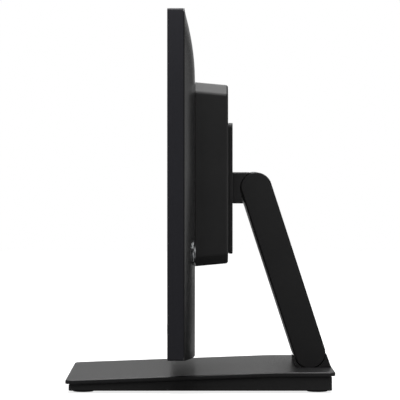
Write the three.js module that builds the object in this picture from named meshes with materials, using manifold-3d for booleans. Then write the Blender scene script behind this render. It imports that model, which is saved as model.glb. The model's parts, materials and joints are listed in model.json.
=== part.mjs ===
// An all-in-one desktop computer on a folding arm stand. Millimetres, +Z up.
// +X is to the right of a person who faces the screen, +Y is behind the screen, and the origin
// lies on the desk under the middle of the base.

import * as THREE from 'three';
import { mergeVertices } from 'three/addons/utils/BufferGeometryUtils.js';
import Module from 'manifold-3d';

const wasm = await Module();
wasm.setup();

// ---- Driving dimensions ----------------------------------------------------------------------

const GAP = 0.3; // left between pieces that lie against each other
const REACH = 400; // longer than any piece, for cuts that go right through

// Base
const BASE_WIDTH = 246;
const BASE_DEPTH = 286.8;
const BASE_CORNER = 7;
const PLATE_THICK = 4.1;
const PLATE_TOP_FRONT = 13.9; // the top slopes up from here...
const PLATE_TOP_REAR = 22.3; // ...to here, then runs level
const SLOPE_END_Y = 80;
const TRAY_INSET = 3.6;
const TRAY_WALL = 2.5;
const TRAY_BOTTOM = 2.5;
const TRAY_FLOOR = 2.2;
const WEIGHT_THICK = 3.4;
const WEIGHT_CLEARANCE = 6; // between the slab and the tray's walls
const WEIGHT_TO_SCREW = 14;
const FOOT_RADIUS = 11;
const FOOT_X = 95;
const FOOT_Y = 125;

// Arm
const BASE_PIVOT = { y: 118.9, z: 38.5 };
const ARM_LEAN = THREE.MathUtils.degToRad(18); // forward from upright
const ARM_LENGTH = 187.4; // from pivot to pivot
const ARM_RADIUS = 17;
const ARM_WIDTH = 114;
const ARM_WALL = 2.2;
const CAP_THICK = 2.6;
const SADDLE_RADIUS = ARM_RADIUS + 0.7; // hollow in the base and the head around the arm's ends
const ARM_MOST_UPRIGHT = THREE.MathUtils.degToRad(-0.4);
const ARM_MOST_FORWARD = THREE.MathUtils.degToRad(24.2);
const HEAD_MOST_FORWARD = THREE.MathUtils.degToRad(4.2);

// Hinge housing on the base: its outline behind the arm, as [y, z] from the plate up
const HOUSING_BACK = [[142.2, PLATE_TOP_REAR + GAP], [141, 26], [138.9, 32], [137.4, 36], [136.4, 37.6]];
const HOUSING_TOP = 37.6;
const HOUSING_FRONT_TOP = 31.4;
const HOUSING_SINK_HALF = 12.7; // half the depth of the part that sinks into the plate
const HOUSING_FORWARD = 15.2; // from the pivot to the front of the housing

// Hinge pins, and the steel lugs that stand in slots across the arm's round ends
const PIN_RADIUS = 4;
const PIN_BORE = 4.3;
const LUG_X = 32;
const LUG_THICK = 6;
const LUG_RADIUS = 9;
const LUG_FLANGE_THICK = 3;
const LUG_SCREW_FORWARD = 24; // how far in front of the pivot the lug's screw stands
const RAIL_X = 45;
const RAIL_THICK = 2.5;

// Screen unit
const SCREEN_WIDTH = 490;
const SCREEN_BOTTOM = 44;
const SCREEN_TOP = 401.1;
const SCREEN_CORNER = 4.3;
const SCREEN_FRONT = -34.15;
const SCREEN_RIM = -16.5; // where the rear cover's outer surface meets the side walls
const RIM_EDGE = 0.6; // thickness of the rear cover at its edge
const FACE_THICK = 2.3;
const WALL = 2.4;
const CROWN = 10.7; // how far the rear cover swells out behind the rim
const CROWN_RUN = 72; // distance from the edge over which it swells
const DISPLAY_WIDTH = 442.8;
const DISPLAY_HEIGHT = 249.1;
const DISPLAY_CENTRE_Z = 245.6;
const DISPLAY_BORDER = 1; // the window shows this much more than the picture
const LENS_Z = 387;
const SPEAKER = { x: 130, z: 76, slots: 9, pitch: 5, slotHalf: 1, slotRise: 8 };
const SHUTTER_SLOT = { from: -3, to: 12.4, bottom: 393, top: 396 };
const SHEET_FRONT = -21.8; // the pressed chassis behind the display
const SHEET_REAR = -20.6;

// Box behind the screen that holds the computer
const BOX_HALF_WIDTH = 150;
const BOX_BOTTOM = 134.3;
const BOX_TOP = 330.2;
const BOX_REAR = 29.1;
const BOX_FRONT = -16;
const BOX_CORNER = 10.5; // flat-cut corners
const BOX_DRAFT = 0.09; // the sides lean in by this much for each millimetre back
const BOX_WALL = 2.5;
const BOX_REAR_ROUND = 3;
const BOX_HOLE_INSET = 8; // the rear cover's opening is smaller than the box by this much
const TOP_SLOTS = { count: 16, pitch: 12, half: 1.8, front: 2, rear: 21 };
const FAN_SLOTS = { count: 7, pitch: 7, half: 1.5, rise: 22 };

const MOUNT_SIZE = 141.4;
const MOUNT_FRONT = BOX_REAR + GAP;
const MOUNT_REAR = 35.1;
const MOUNT_CENTRE_Z = 216.6;
const MOUNT_BOLT = 50; // half the spacing of the standard 100 mm square
const SCREW_HEAD_RADIUS = 4.2;
const SCREW_HEAD_THICK = 2.3;
const SCREW_BORE = 2.4;
const SCREW_SHANK = 2.1;
const HEAD_BRACKET_HALF = 16.7;
const HEAD_BRACKET_END = 4; // the bracket stops this far in front of the pivot
const HEAD_BRACKET_CORNER = 1.5;

const FAN = { x: 101, z: 262, half: 34, front: -4.5, rear: 16.5 };
const LOCK = { x: 200, z: 152.5, radius: 12, bore: 6, tilt: THREE.MathUtils.degToRad(6.2) };
const BUTTON = { x: 205, z: 74, radius: 6 };
const SUPPLY_WALL = 1.2;

// ---- Finishes --------------------------------------------------------------------------------

const BLACK_PLASTIC = { color: 0x1c1c1d, roughness: 0.6, metalness: 0 };
const BEZEL_PLASTIC = { color: 0x17171b, roughness: 0.5, metalness: 0 };
const BASE_PAINT = { color: 0x202021, roughness: 0.45, metalness: 0.1 };
const RUBBER = { color: 0x101010, roughness: 0.9, metalness: 0 };
const STEEL = { color: 0xa6a8aa, roughness: 0.35, metalness: 1 };
const ZINC_SHEET = { color: 0xb4b6b2, roughness: 0.5, metalness: 1 };
const ALUMINIUM = { color: 0xc2c4c6, roughness: 0.4, metalness: 1 };
const BOARD = { color: 0x14512e, roughness: 0.6, metalness: 0 };
const INNER_PLASTIC = { color: 0x262626, roughness: 0.7, metalness: 0 };
const DISPLAY = { color: 0x0a0b0d, roughness: 0.35, metalness: 0 };
const LENS_GLASS = { color: 0x05060a, roughness: 0.1, metalness: 0 };

// ---- Solids ----------------------------------------------------------------------------------

function solid(geometry) {
  geometry.deleteAttribute('normal');
  geometry.deleteAttribute('uv');
  const merged = mergeVertices(geometry, 1e-4);
  return new wasm.Manifold(new wasm.Mesh({
    numProp: 3,
    vertProperties: merged.attributes.position.array,
    triVerts: new Uint32Array(merged.index.array),
  }));
}

function geometryOf(body) {
  const { vertProperties, triVerts } = body.getMesh();
  const geometry = new THREE.BufferGeometry();
  geometry.setAttribute('position', new THREE.BufferAttribute(new Float32Array(vertProperties), 3));
  geometry.setIndex(new THREE.BufferAttribute(new Uint32Array(triVerts), 1));
  const faceted = geometry.toNonIndexed();
  faceted.computeVertexNormals();
  return faceted;
}

// A box between two values on each axis.
function block([x0, x1], [y0, y1], [z0, z1]) {
  const geometry = new THREE.BoxGeometry(x1 - x0, y1 - y0, z1 - z0);
  return solid(geometry.translate((x0 + x1) / 2, (y0 + y1) / 2, (z0 + z1) / 2));
}

// A disc or rod between two values along the named axis; u and v are its centre on the other two.
function rod(axis, radius, from, to, u, v, segments = 24) {
  const geometry = new THREE.CylinderGeometry(radius, radius, to - from, segments);
  geometry.translate(0, (from + to) / 2, 0);
  if (axis === 'x') geometry.rotateZ(-Math.PI / 2).translate(0, u, v);
  if (axis === 'y') geometry.translate(u, 0, v);
  if (axis === 'z') geometry.rotateX(Math.PI / 2).translate(u, v, 0);
  return solid(geometry);
}

// A round piece about the X axis from an outline of [distance along X, radius] points.
function turned(outline, y, z, segments = 24) {
  const points = outline.map(([along, radius]) => new THREE.Vector2(radius, along));
  const geometry = new THREE.LatheGeometry(points, segments);
  return solid(geometry.rotateZ(-Math.PI / 2).translate(0, y, z));
}

const ACROSS = new THREE.Matrix4().makeBasis(
  new THREE.Vector3(0, 1, 0), new THREE.Vector3(0, 0, 1), new THREE.Vector3(1, 0, 0));
const FORWARD = new THREE.Matrix4().makeBasis(
  new THREE.Vector3(1, 0, 0), new THREE.Vector3(0, 0, 1), new THREE.Vector3(0, -1, 0));

// An outline in Y and Z, drawn out along X.
function prismX(shape, x0, x1, curveSegments = 8) {
  const geometry = new THREE.ExtrudeGeometry(shape, { depth: x1 - x0, bevelEnabled: false, curveSegments });
  return solid(geometry.translate(0, 0, x0).applyMatrix4(ACROSS));
}

// An outline in X and Z, drawn out along Y.
function prismY(shape, y0, y1, curveSegments = 4) {
  const geometry = new THREE.ExtrudeGeometry(shape, { depth: y1 - y0, bevelEnabled: false, curveSegments });
  return solid(geometry.translate(0, 0, -y1).applyMatrix4(FORWARD));
}

// An outline in X and Y, drawn out along Z.
function prismZ(shape, z0, z1, curveSegments = 4) {
  const geometry = new THREE.ExtrudeGeometry(shape, { depth: z1 - z0, bevelEnabled: false, curveSegments });
  return solid(geometry.translate(0, 0, z0));
}

function polygon(points) {
  return new THREE.Shape(points.map(([u, v]) => new THREE.Vector2(u, v)));
}

function roundedRectangle(u0, u1, v0, v1, radius) {
  const shape = new THREE.Shape();
  shape.absarc(u1 - radius, v0 + radius, radius, -Math.PI / 2, 0);
  shape.absarc(u1 - radius, v1 - radius, radius, 0, Math.PI / 2);
  shape.absarc(u0 + radius, v1 - radius, radius, Math.PI / 2, Math.PI);
  shape.absarc(u0 + radius, v0 + radius, radius, Math.PI, Math.PI * 1.5);
  shape.closePath();
  return shape;
}

// Two half circles joined by straight sides, standing on the origin.
function stadium(radius, length) {
  const shape = new THREE.Shape();
  shape.absarc(0, length, radius, 0, Math.PI);
  shape.absarc(0, 0, radius, Math.PI, Math.PI * 2);
  shape.closePath();
  return shape;
}

function joined(bodies) {
  return bodies.reduce((whole, body) => whole.add(body));
}

function cut(body, cutters) {
  return cutters.reduce((rest, cutter) => rest.subtract(cutter), body);
}

function place(group, name, finish, body) {
  const mesh = new THREE.Mesh(geometryOf(body), new THREE.MeshStandardMaterial(finish));
  mesh.name = name;
  group.add(mesh);
  return mesh;
}

const SIDES = [['left', -1], ['right', 1]];
const sideSpan = (side, near, far) => [Math.min(side * near, side * far), Math.max(side * near, side * far)];

// ---- Base ------------------------------------------------------------------------------------

// The base's outline from the side, between a flat underside and a top that lies `drop` below the
// plate's own top.
function baseWedge(inset, bottom, drop) {
  const half = BASE_DEPTH / 2 - inset;
  return prismX(polygon([
    [-half, bottom],
    [half, bottom],
    [half, PLATE_TOP_REAR - drop],
    [SLOPE_END_Y, PLATE_TOP_REAR - drop],
    [-half, PLATE_TOP_FRONT - drop],
  ]), -BASE_WIDTH / 2 + inset, BASE_WIDTH / 2 - inset);
}

function basePlan(inset, z0, z1) {
  const x = BASE_WIDTH / 2 - inset;
  const y = BASE_DEPTH / 2 - inset;
  return prismZ(roundedRectangle(-x, x, -y, y, Math.max(BASE_CORNER - inset, 1)), z0, z1);
}

function makeBase() {
  const base = new THREE.Group();
  const plateUnder = PLATE_TOP_REAR - PLATE_THICK;

  // Sheet with a sloping top, cut out where the hinge housing sinks into it.
  const underPlate = baseWedge(-1, -1, PLATE_THICK);
  const lugSlots = SIDES.map(([, side]) => block(
    sideSpan(side, LUG_X - LUG_THICK / 2 - GAP, LUG_X + LUG_THICK / 2 + GAP),
    [BASE_PIVOT.y - LUG_RADIUS - GAP, BASE_PIVOT.y + LUG_RADIUS + GAP],
    [0, BASE_PIVOT.z + REACH]));
  const sunk = (clear) => block([-ARM_WIDTH / 2 - clear, ARM_WIDTH / 2 + clear],
    [BASE_PIVOT.y - HOUSING_SINK_HALF - clear, BASE_PIVOT.y + HOUSING_SINK_HALF + clear],
    [plateUnder, PLATE_TOP_REAR + 2 * GAP]);
  const plate = baseWedge(0, 0, 0).intersect(basePlan(0, 0, 30));
  place(base, 'base_plate', BASE_PAINT, cut(plate, [underPlate, sunk(GAP)]));

  // Plastic tray that closes the base from below.
  const trayOuter = baseWedge(TRAY_INSET, TRAY_BOTTOM, PLATE_THICK + GAP)
    .intersect(basePlan(TRAY_INSET, 0, 30));
  const trayHollow = basePlan(TRAY_INSET + TRAY_WALL, TRAY_BOTTOM + TRAY_FLOOR, 30);
  const footRecesses = footPlaces().map(({ x, y }) => (
    rod('z', FOOT_RADIUS + GAP, 0, TRAY_BOTTOM + 1, x, y, 20)));
  place(base, 'base_tray', BLACK_PLASTIC, cut(trayOuter, [trayHollow, ...footRecesses]));

  // Steel slab that keeps the stand from tipping.
  const slabInset = TRAY_INSET + TRAY_WALL + WEIGHT_CLEARANCE;
  const slabFloor = TRAY_BOTTOM + TRAY_FLOOR + GAP;
  place(base, 'base_weight', STEEL, block(
    [-BASE_WIDTH / 2 + slabInset, BASE_WIDTH / 2 - slabInset],
    [-BASE_DEPTH / 2 + slabInset, BASE_PIVOT.y - LUG_SCREW_FORWARD - WEIGHT_TO_SCREW],
    [slabFloor, slabFloor + WEIGHT_THICK]));

  for (const { name, x, y } of footPlaces()) {
    place(base, `foot_${name}`, RUBBER, rod('z', FOOT_RADIUS, 0, TRAY_BOTTOM + 1 - GAP, x, y, 20));
  }

  // Plastic saddle that the arm's lower end turns in.
  const saddleFront = BASE_PIVOT.y - HOUSING_FORWARD;
  const saddle = prismX(polygon([
    [saddleFront, PLATE_TOP_REAR + GAP],
    ...HOUSING_BACK,
    [saddleFront, HOUSING_TOP],
  ]), -ARM_WIDTH / 2, ARM_WIDTH / 2);
  const frontLip = block([-REACH, REACH], [saddleFront - 1, BASE_PIVOT.y], [HOUSING_FRONT_TOP, REACH]);
  const sweeps = [ARM_MOST_UPRIGHT, ARM_LEAN, ARM_MOST_FORWARD].map((lean) => (
    armSweep(lean, 0, BASE_PIVOT.y, BASE_PIVOT.z)));
  place(base, 'base_hinge_housing', BLACK_PLASTIC,
    cut(joined([saddle, sunk(0)]), [frontLip, ...sweeps, ...lugSlots]));

  // Steel lugs, welded to flanges that bolt up against the underside of the plate.
  for (const [name, side] of SIDES) {
    const across = sideSpan(side, LUG_X - LUG_THICK / 2, LUG_X + LUG_THICK / 2);
    const flangeTop = plateUnder - GAP;
    const flangeUnder = flangeTop - LUG_FLANGE_THICK;
    const screwX = side * (LUG_X + 12);
    const screwY = BASE_PIVOT.y - LUG_SCREW_FORWARD;
    const lug = joined([
      rod('x', LUG_RADIUS, ...across, BASE_PIVOT.y, BASE_PIVOT.z, 32),
      block(across, [BASE_PIVOT.y - LUG_RADIUS, BASE_PIVOT.y + LUG_RADIUS], [flangeUnder, BASE_PIVOT.z]),
      block(sideSpan(side, LUG_X - LUG_THICK / 2, LUG_X + 20),
        [screwY - 8, BASE_PIVOT.y + 15], [flangeUnder, flangeTop]),
    ]);
    place(base, `base_lug_${name}`, STEEL, cut(lug, [
      rod('x', PIN_BORE, -REACH, REACH, BASE_PIVOT.y, BASE_PIVOT.z, 32),
      rod('z', 2.8, 0, 30, screwX, screwY, 16),
    ]));
    place(base, `lug_screw_${name}`, STEEL, joined([
      rod('z', 5, flangeUnder - GAP - 3, flangeUnder - GAP, screwX, screwY, 16),
      rod('z', 2.5, flangeUnder - 1, plateUnder - 0.1, screwX, screwY, 16),
    ]));
  }
  return base;
}

// The space that the arm takes up at one lean, with its lower or upper round end at the place given.
function armSweep(lean, below, y, z) {
  const sweep = new THREE.ExtrudeGeometry(stadium(SADDLE_RADIUS, ARM_LENGTH), {
    depth: REACH, bevelEnabled: false, curveSegments: 8,
  });
  sweep.translate(0, -below, -REACH / 2).applyMatrix4(ACROSS).rotateX(lean);
  return solid(sweep.translate(0, y, z));
}

function footPlaces() {
  return [
    { name: 'front_left', x: -FOOT_X, y: -FOOT_Y },
    { name: 'front_right', x: FOOT_X, y: -FOOT_Y },
    { name: 'rear_left', x: -FOOT_X, y: FOOT_Y },
    { name: 'rear_right', x: FOOT_X, y: FOOT_Y },
  ];
}

// ---- Arm -------------------------------------------------------------------------------------

// The arm's own group: its origin is the lower pivot and its Z axis runs up the arm.
function makeArm() {
  const arm = new THREE.Group();
  arm.position.set(0, BASE_PIVOT.y, BASE_PIVOT.z);
  arm.rotation.x = ARM_LEAN;
  const halfInside = ARM_WIDTH / 2 - CAP_THICK - GAP;
  const pivots = [['base', 0], ['head', ARM_LENGTH]];

  // Front and rear shells, which meet along the middle of the round ends, with a slot at each lug.
  const lugSlots = pivots.flatMap(([, z]) => SIDES.map(([, side]) => rod('x', ARM_RADIUS + 3,
    ...sideSpan(side, LUG_X - LUG_THICK / 2 - 0.6, LUG_X + LUG_THICK / 2 + 0.6), 0, z, 16)));
  const skin = prismX(stadium(ARM_RADIUS, ARM_LENGTH), -halfInside, halfInside)
    .subtract(prismX(stadium(ARM_RADIUS - ARM_WALL, ARM_LENGTH), -REACH, REACH));
  const keepFront = block([-REACH, REACH], [-REACH, -GAP / 2], [-REACH, REACH]);
  const keepRear = block([-REACH, REACH], [GAP / 2, REACH], [-REACH, REACH]);
  place(arm, 'arm_front_cover', BLACK_PLASTIC, cut(skin.intersect(keepFront), lugSlots));
  place(arm, 'arm_rear_cover', BLACK_PLASTIC, cut(skin.intersect(keepRear), lugSlots));

  // End caps that show as the arm's sides, with a short spigot that fits inside the shells.
  for (const [name, side] of SIDES) {
    const inner = side * (halfInside + GAP);
    const cap = prismX(stadium(ARM_RADIUS, ARM_LENGTH), ...sideSpan(1, inner, side * ARM_WIDTH / 2));
    const spigot = prismX(stadium(ARM_RADIUS - ARM_WALL - GAP, ARM_LENGTH),
      ...sideSpan(1, inner - side * 1.5, inner + side));
    place(arm, `arm_cap_${name}`, BLACK_PLASTIC, cap.add(spigot));
  }

  // Pressed frame: two rails with pin holes, joined by a web across the middle of the arm.
  const rails = SIDES.map(([, side]) => prismX(stadium(ARM_RADIUS - ARM_WALL - 1.5, ARM_LENGTH),
    ...sideSpan(side, RAIL_X, RAIL_X + RAIL_THICK), 8));
  const web = block([-RAIL_X - 1, RAIL_X + 1], [-1.5, 1.5], [30, ARM_LENGTH - 30]);
  const pinBores = pivots.map(([, z]) => rod('x', PIN_BORE, -REACH, REACH, 0, z, 32));
  place(arm, 'arm_frame', ZINC_SHEET, cut(joined([web, ...rails]), pinBores));

  // Each hinge has a headed pin, a stack of disc springs that grips it, and a nut.
  for (const [name, z] of pivots) {
    const headFace = -RAIL_X - RAIL_THICK - GAP;
    const tip = RAIL_X + RAIL_THICK + 5;
    place(arm, `${name}_hinge_pin`, STEEL, turned([
      [headFace - 2.5, 0],
      [headFace - 2.5, 7],
      [headFace, 7],
      [headFace, PIN_RADIUS],
      [tip - 0.6, PIN_RADIUS],
      [tip, PIN_RADIUS - 0.6],
      [tip, 0],
    ], 0, z));
    place(arm, `${name}_disc_springs`, STEEL, turned(discSprings(
      LUG_X + LUG_THICK / 2 + GAP, RAIL_X - GAP), 0, z, 16));
    const nutFace = RAIL_X + RAIL_THICK + GAP;
    const nut = rod('x', 7.5, nutFace, nutFace + 4, 0, z, 6);
    place(arm, `${name}_pin_nut`, STEEL, nut.subtract(rod('x', PIN_BORE, -REACH, REACH, 0, z, 32)));
  }
  return arm;
}

// The section of a stack of dished washers pressed together between two places along the pin.
function discSprings(from, to) {
  const washers = 3;
  const pitch = (to - from) / washers;
  const bore = PIN_BORE + 0.2;
  const outline = [[from, bore]];
  for (let i = 0; i < washers; i++) {
    const start = from + i * pitch;
    outline.push([start, 6.6], [start + 0.35 * pitch, 8.4], [start + 0.8 * pitch, 8.4]);
  }
  outline.push([to, 6.6], [to, bore], [from, bore]);
  return outline;
}

// ---- Screen unit -----------------------------------------------------------------------------

function riseFromEdge(distance) {
  const left = 1 - Math.min(1, Math.max(0, distance / CROWN_RUN));
  return 1 - left * left;
}

// How far back the rear cover's outer surface lies. It swells from both sides and from the top,
// and keeps its full depth down to the bottom edge.
function rearSurface(x, z) {
  const side = riseFromEdge(SCREEN_WIDTH / 2 - Math.abs(x));
  const top = riseFromEdge(SCREEN_TOP - z);
  return SCREEN_RIM + CROWN * side * top;
}

const CROWN_STEPS = [0, 0.12, 0.27, 0.46, 0.7, 1];

// A block with the rear cover's crowned back. `inset` takes it in all round, and `drop` forward.
function crownedBlock(inset, front, drop) {
  const low = -SCREEN_WIDTH / 2 + inset;
  const run = CROWN_STEPS.map((t) => t * CROWN_RUN);
  const xs = [...run.map((t) => low + t), ...run.map((t) => -low - t).reverse()];
  const top = SCREEN_TOP - inset;
  const zs = [SCREEN_BOTTOM + inset, ...run.map((t) => top - t).reverse()];
  const geometry = new THREE.BoxGeometry(1, 1, 1, xs.length - 1, 1, zs.length - 1);
  const at = geometry.attributes.position;
  for (let i = 0; i < at.count; i++) {
    const x = xs[Math.round((at.getX(i) + 0.5) * (xs.length - 1))];
    const z = zs[Math.round((at.getZ(i) + 0.5) * (zs.length - 1))];
    at.setXYZ(i, x, at.getY(i) < 0 ? front : rearSurface(x, z) - drop, z);
  }
  return solid(geometry);
}

// The box's outer shape, or its hollow when taken in by a wall; its sides close in towards the rear.
function draftedBox(inset, rear) {
  const [x, low, high] = [BOX_HALF_WIDTH - inset, BOX_BOTTOM + inset, BOX_TOP - inset];
  const corner = BOX_CORNER - inset * (2 - Math.SQRT2);
  const shape = polygon([
    [x - corner, low], [x, low + corner], [x, high - corner], [x - corner, high],
    [corner - x, high], [-x, high - corner], [-x, low + corner], [corner - x, low],
  ]);
  const bevel = BOX_REAR_ROUND;
  const geometry = new THREE.ExtrudeGeometry(shape, {
    depth: rear - BOX_FRONT - bevel,
    bevelThickness: bevel,
    bevelSize: bevel,
    bevelOffset: -bevel,
    bevelSegments: 2,
  });
  geometry.scale(1, 1, -1).translate(0, 0, -BOX_FRONT).applyMatrix4(FORWARD);
  const at = geometry.attributes.position;
  const middle = (BOX_BOTTOM + BOX_TOP) / 2;
  for (let i = 0; i < at.count; i++) {
    const pull = BOX_DRAFT * Math.max(0, at.getY(i) - BOX_FRONT);
    at.setX(i, at.getX(i) * (1 - pull / BOX_HALF_WIDTH));
    at.setZ(i, middle + (at.getZ(i) - middle) * (1 - pull / (BOX_TOP - middle)));
  }
  return facingOut(geometry);
}

// A mirrored geometry has its triangles turned round, so they are turned back here.
function facingOut(geometry) {
  geometry.deleteAttribute('normal');
  geometry.deleteAttribute('uv');
  const merged = mergeVertices(geometry, 1e-4);
  const triVerts = new Uint32Array(merged.index.array);
  for (let i = 0; i < triVerts.length; i += 3) {
    [triVerts[i + 1], triVerts[i + 2]] = [triVerts[i + 2], triVerts[i + 1]];
  }
  return new wasm.Manifold(new wasm.Mesh({
    numProp: 3, vertProperties: merged.attributes.position.array, triVerts,
  }));
}

const boltPlaces = [[-1, -1], [1, -1], [1, 1], [-1, 1]].map(([u, w]) => (
  { x: u * MOUNT_BOLT, z: MOUNT_CENTRE_Z + w * MOUNT_BOLT }));

// The sockets along the bottom of the box. Each looks down through a cut-out in the box's wall.
const SOCKET_FLOOR = 137; // height of the sockets' mouths
const SOCKET_FRONT = -4.4;
const SOCKETS = [
  { name: 'power_inlet', x: -100, width: 30, deep: 24, tall: 22 },
  { name: 'display_socket', x: -22, width: 20, deep: 9, tall: 18 },
  { name: 'lan_socket', x: 6, width: 17, deep: 14, tall: 20 },
  { name: 'usb_socket_1', x: 30, width: 16, deep: 8, tall: 18 },
  { name: 'usb_socket_2', x: 70, width: 16, deep: 8, tall: 18 },
];

// The sockets in the left side wall of the screen unit.
const SIDE_SOCKETS = [
  { name: 'side_usb_1', z: 170, length: 16 },
  { name: 'side_usb_2', z: 195, length: 16 },
  { name: 'headset_socket', z: 217, length: 12 },
];
const SIDE_SOCKET_FRONT = -27;
const SIDE_SOCKET_REAR = -19.4;
const SIDE_SOCKET_DEPTH = 12.6;

function makeScreen() {
  const screen = new THREE.Group();
  makeFront(screen);
  makeBack(screen);
  makeHead(screen);
  makeComputer(screen);
  makeSockets(screen);
  return screen;
}

function makeFront(screen) {
  const half = SCREEN_WIDTH / 2;
  const faceBack = SCREEN_FRONT + FACE_THICK;
  const windowHalf = DISPLAY_WIDTH / 2 + DISPLAY_BORDER;
  const windowRise = DISPLAY_HEIGHT / 2 + DISPLAY_BORDER;

  // Bezel: the face around the display, and the side walls that reach back to the rear cover.
  const outer = prismY(roundedRectangle(-half, half, SCREEN_BOTTOM, SCREEN_TOP, SCREEN_CORNER),
    SCREEN_FRONT, SCREEN_RIM - RIM_EDGE - GAP);
  const pocket = prismY(roundedRectangle(-half + WALL, half - WALL, SCREEN_BOTTOM + WALL,
    SCREEN_TOP - WALL, SCREEN_CORNER - WALL), faceBack, 0);
  const windowCut = block([-windowHalf, windowHalf], [SCREEN_FRONT - 1, 0],
    [DISPLAY_CENTRE_Z - windowRise, DISPLAY_CENTRE_Z + windowRise]);
  const speakerSlots = SIDES.flatMap(([, side]) => Array.from({ length: SPEAKER.slots }, (unused, i) => {
    const x = side * SPEAKER.x + (i - (SPEAKER.slots - 1) / 2) * SPEAKER.pitch;
    return block([x - SPEAKER.slotHalf, x + SPEAKER.slotHalf], [SCREEN_FRONT - 1, 0],
      [SPEAKER.z - SPEAKER.slotRise, SPEAKER.z + SPEAKER.slotRise]);
  }));
  const sideCuts = SIDE_SOCKETS.map(({ z, length }) => block([-half - 1, -half + WALL + 1],
    [SIDE_SOCKET_FRONT - GAP, SIDE_SOCKET_REAR + GAP], [z - length / 2 - GAP, z + length / 2 + GAP]));
  place(screen, 'front_bezel', BEZEL_PLASTIC, cut(outer, [
    pocket,
    windowCut,
    ...speakerSlots,
    ...sideCuts,
    rod('y', BUTTON.radius + 0.4, SCREEN_FRONT - 1, 0, BUTTON.x, BUTTON.z),
    rod('y', 3.5, SCREEN_FRONT - 1, 0, 0, LENS_Z, 20),
    block([SHUTTER_SLOT.from, SHUTTER_SLOT.to], [SCREEN_FRONT - 1, 0],
      [SHUTTER_SLOT.bottom, SHUTTER_SLOT.top]),
  ]));

  // Display module, with its metal edge standing a little proud of the picture.
  const displayFront = faceBack + GAP;
  const module = block([-231, 231], [displayFront, displayFront + 9],
    [DISPLAY_CENTRE_Z - 134.5, DISPLAY_CENTRE_Z + 134.5]);
  place(screen, 'display_panel', DISPLAY, module.subtract(block(
    [-DISPLAY_WIDTH / 2, DISPLAY_WIDTH / 2], [-REACH, displayFront + 0.6],
    [DISPLAY_CENTRE_Z - DISPLAY_HEIGHT / 2, DISPLAY_CENTRE_Z + DISPLAY_HEIGHT / 2])));

  // Camera behind the top of the bezel, with a sliding shutter in front of it.
  const camera = joined([
    block([-32, 32], [-28.4, -23.4], [382.6, 393]),
    rod('y', 3.1, -30.3, -28, 0, LENS_Z, 20),
  ]);
  place(screen, 'webcam_module', LENS_GLASS, camera);
  place(screen, 'webcam_shutter', BEZEL_PLASTIC, joined([
    block([4.6, 13.6], [faceBack + GAP, faceBack + GAP + 0.9], [382.4, 397.6]),
    block([7.2, 11], [SCREEN_FRONT - 0.3, faceBack + 1], [393.4, 395.6]),
  ]));

  // Power button, kept in the bezel by its collar.
  place(screen, 'power_button', BEZEL_PLASTIC, joined([
    rod('y', BUTTON.radius, SCREEN_FRONT - 0.4, faceBack + 1, BUTTON.x, BUTTON.z),
    rod('y', BUTTON.radius + 1.6, faceBack + GAP, faceBack + 1.2, BUTTON.x, BUTTON.z),
  ]));

  // Loudspeakers behind the slots, each with a cone pressed into its front.
  for (const [name, side] of SIDES) {
    const x = side * SPEAKER.x;
    const shell = block([x - 30, x + 30], [faceBack + GAP, faceBack + 16], [56, 98]);
    const cone = solid(new THREE.CylinderGeometry(8, 15, 7, 24)
      .translate(0, faceBack + GAP + 3.4, 0).translate(x, 0, SPEAKER.z));
    place(screen, `speaker_${name}`, INNER_PLASTIC, shell.subtract(cone));
  }
}

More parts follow.
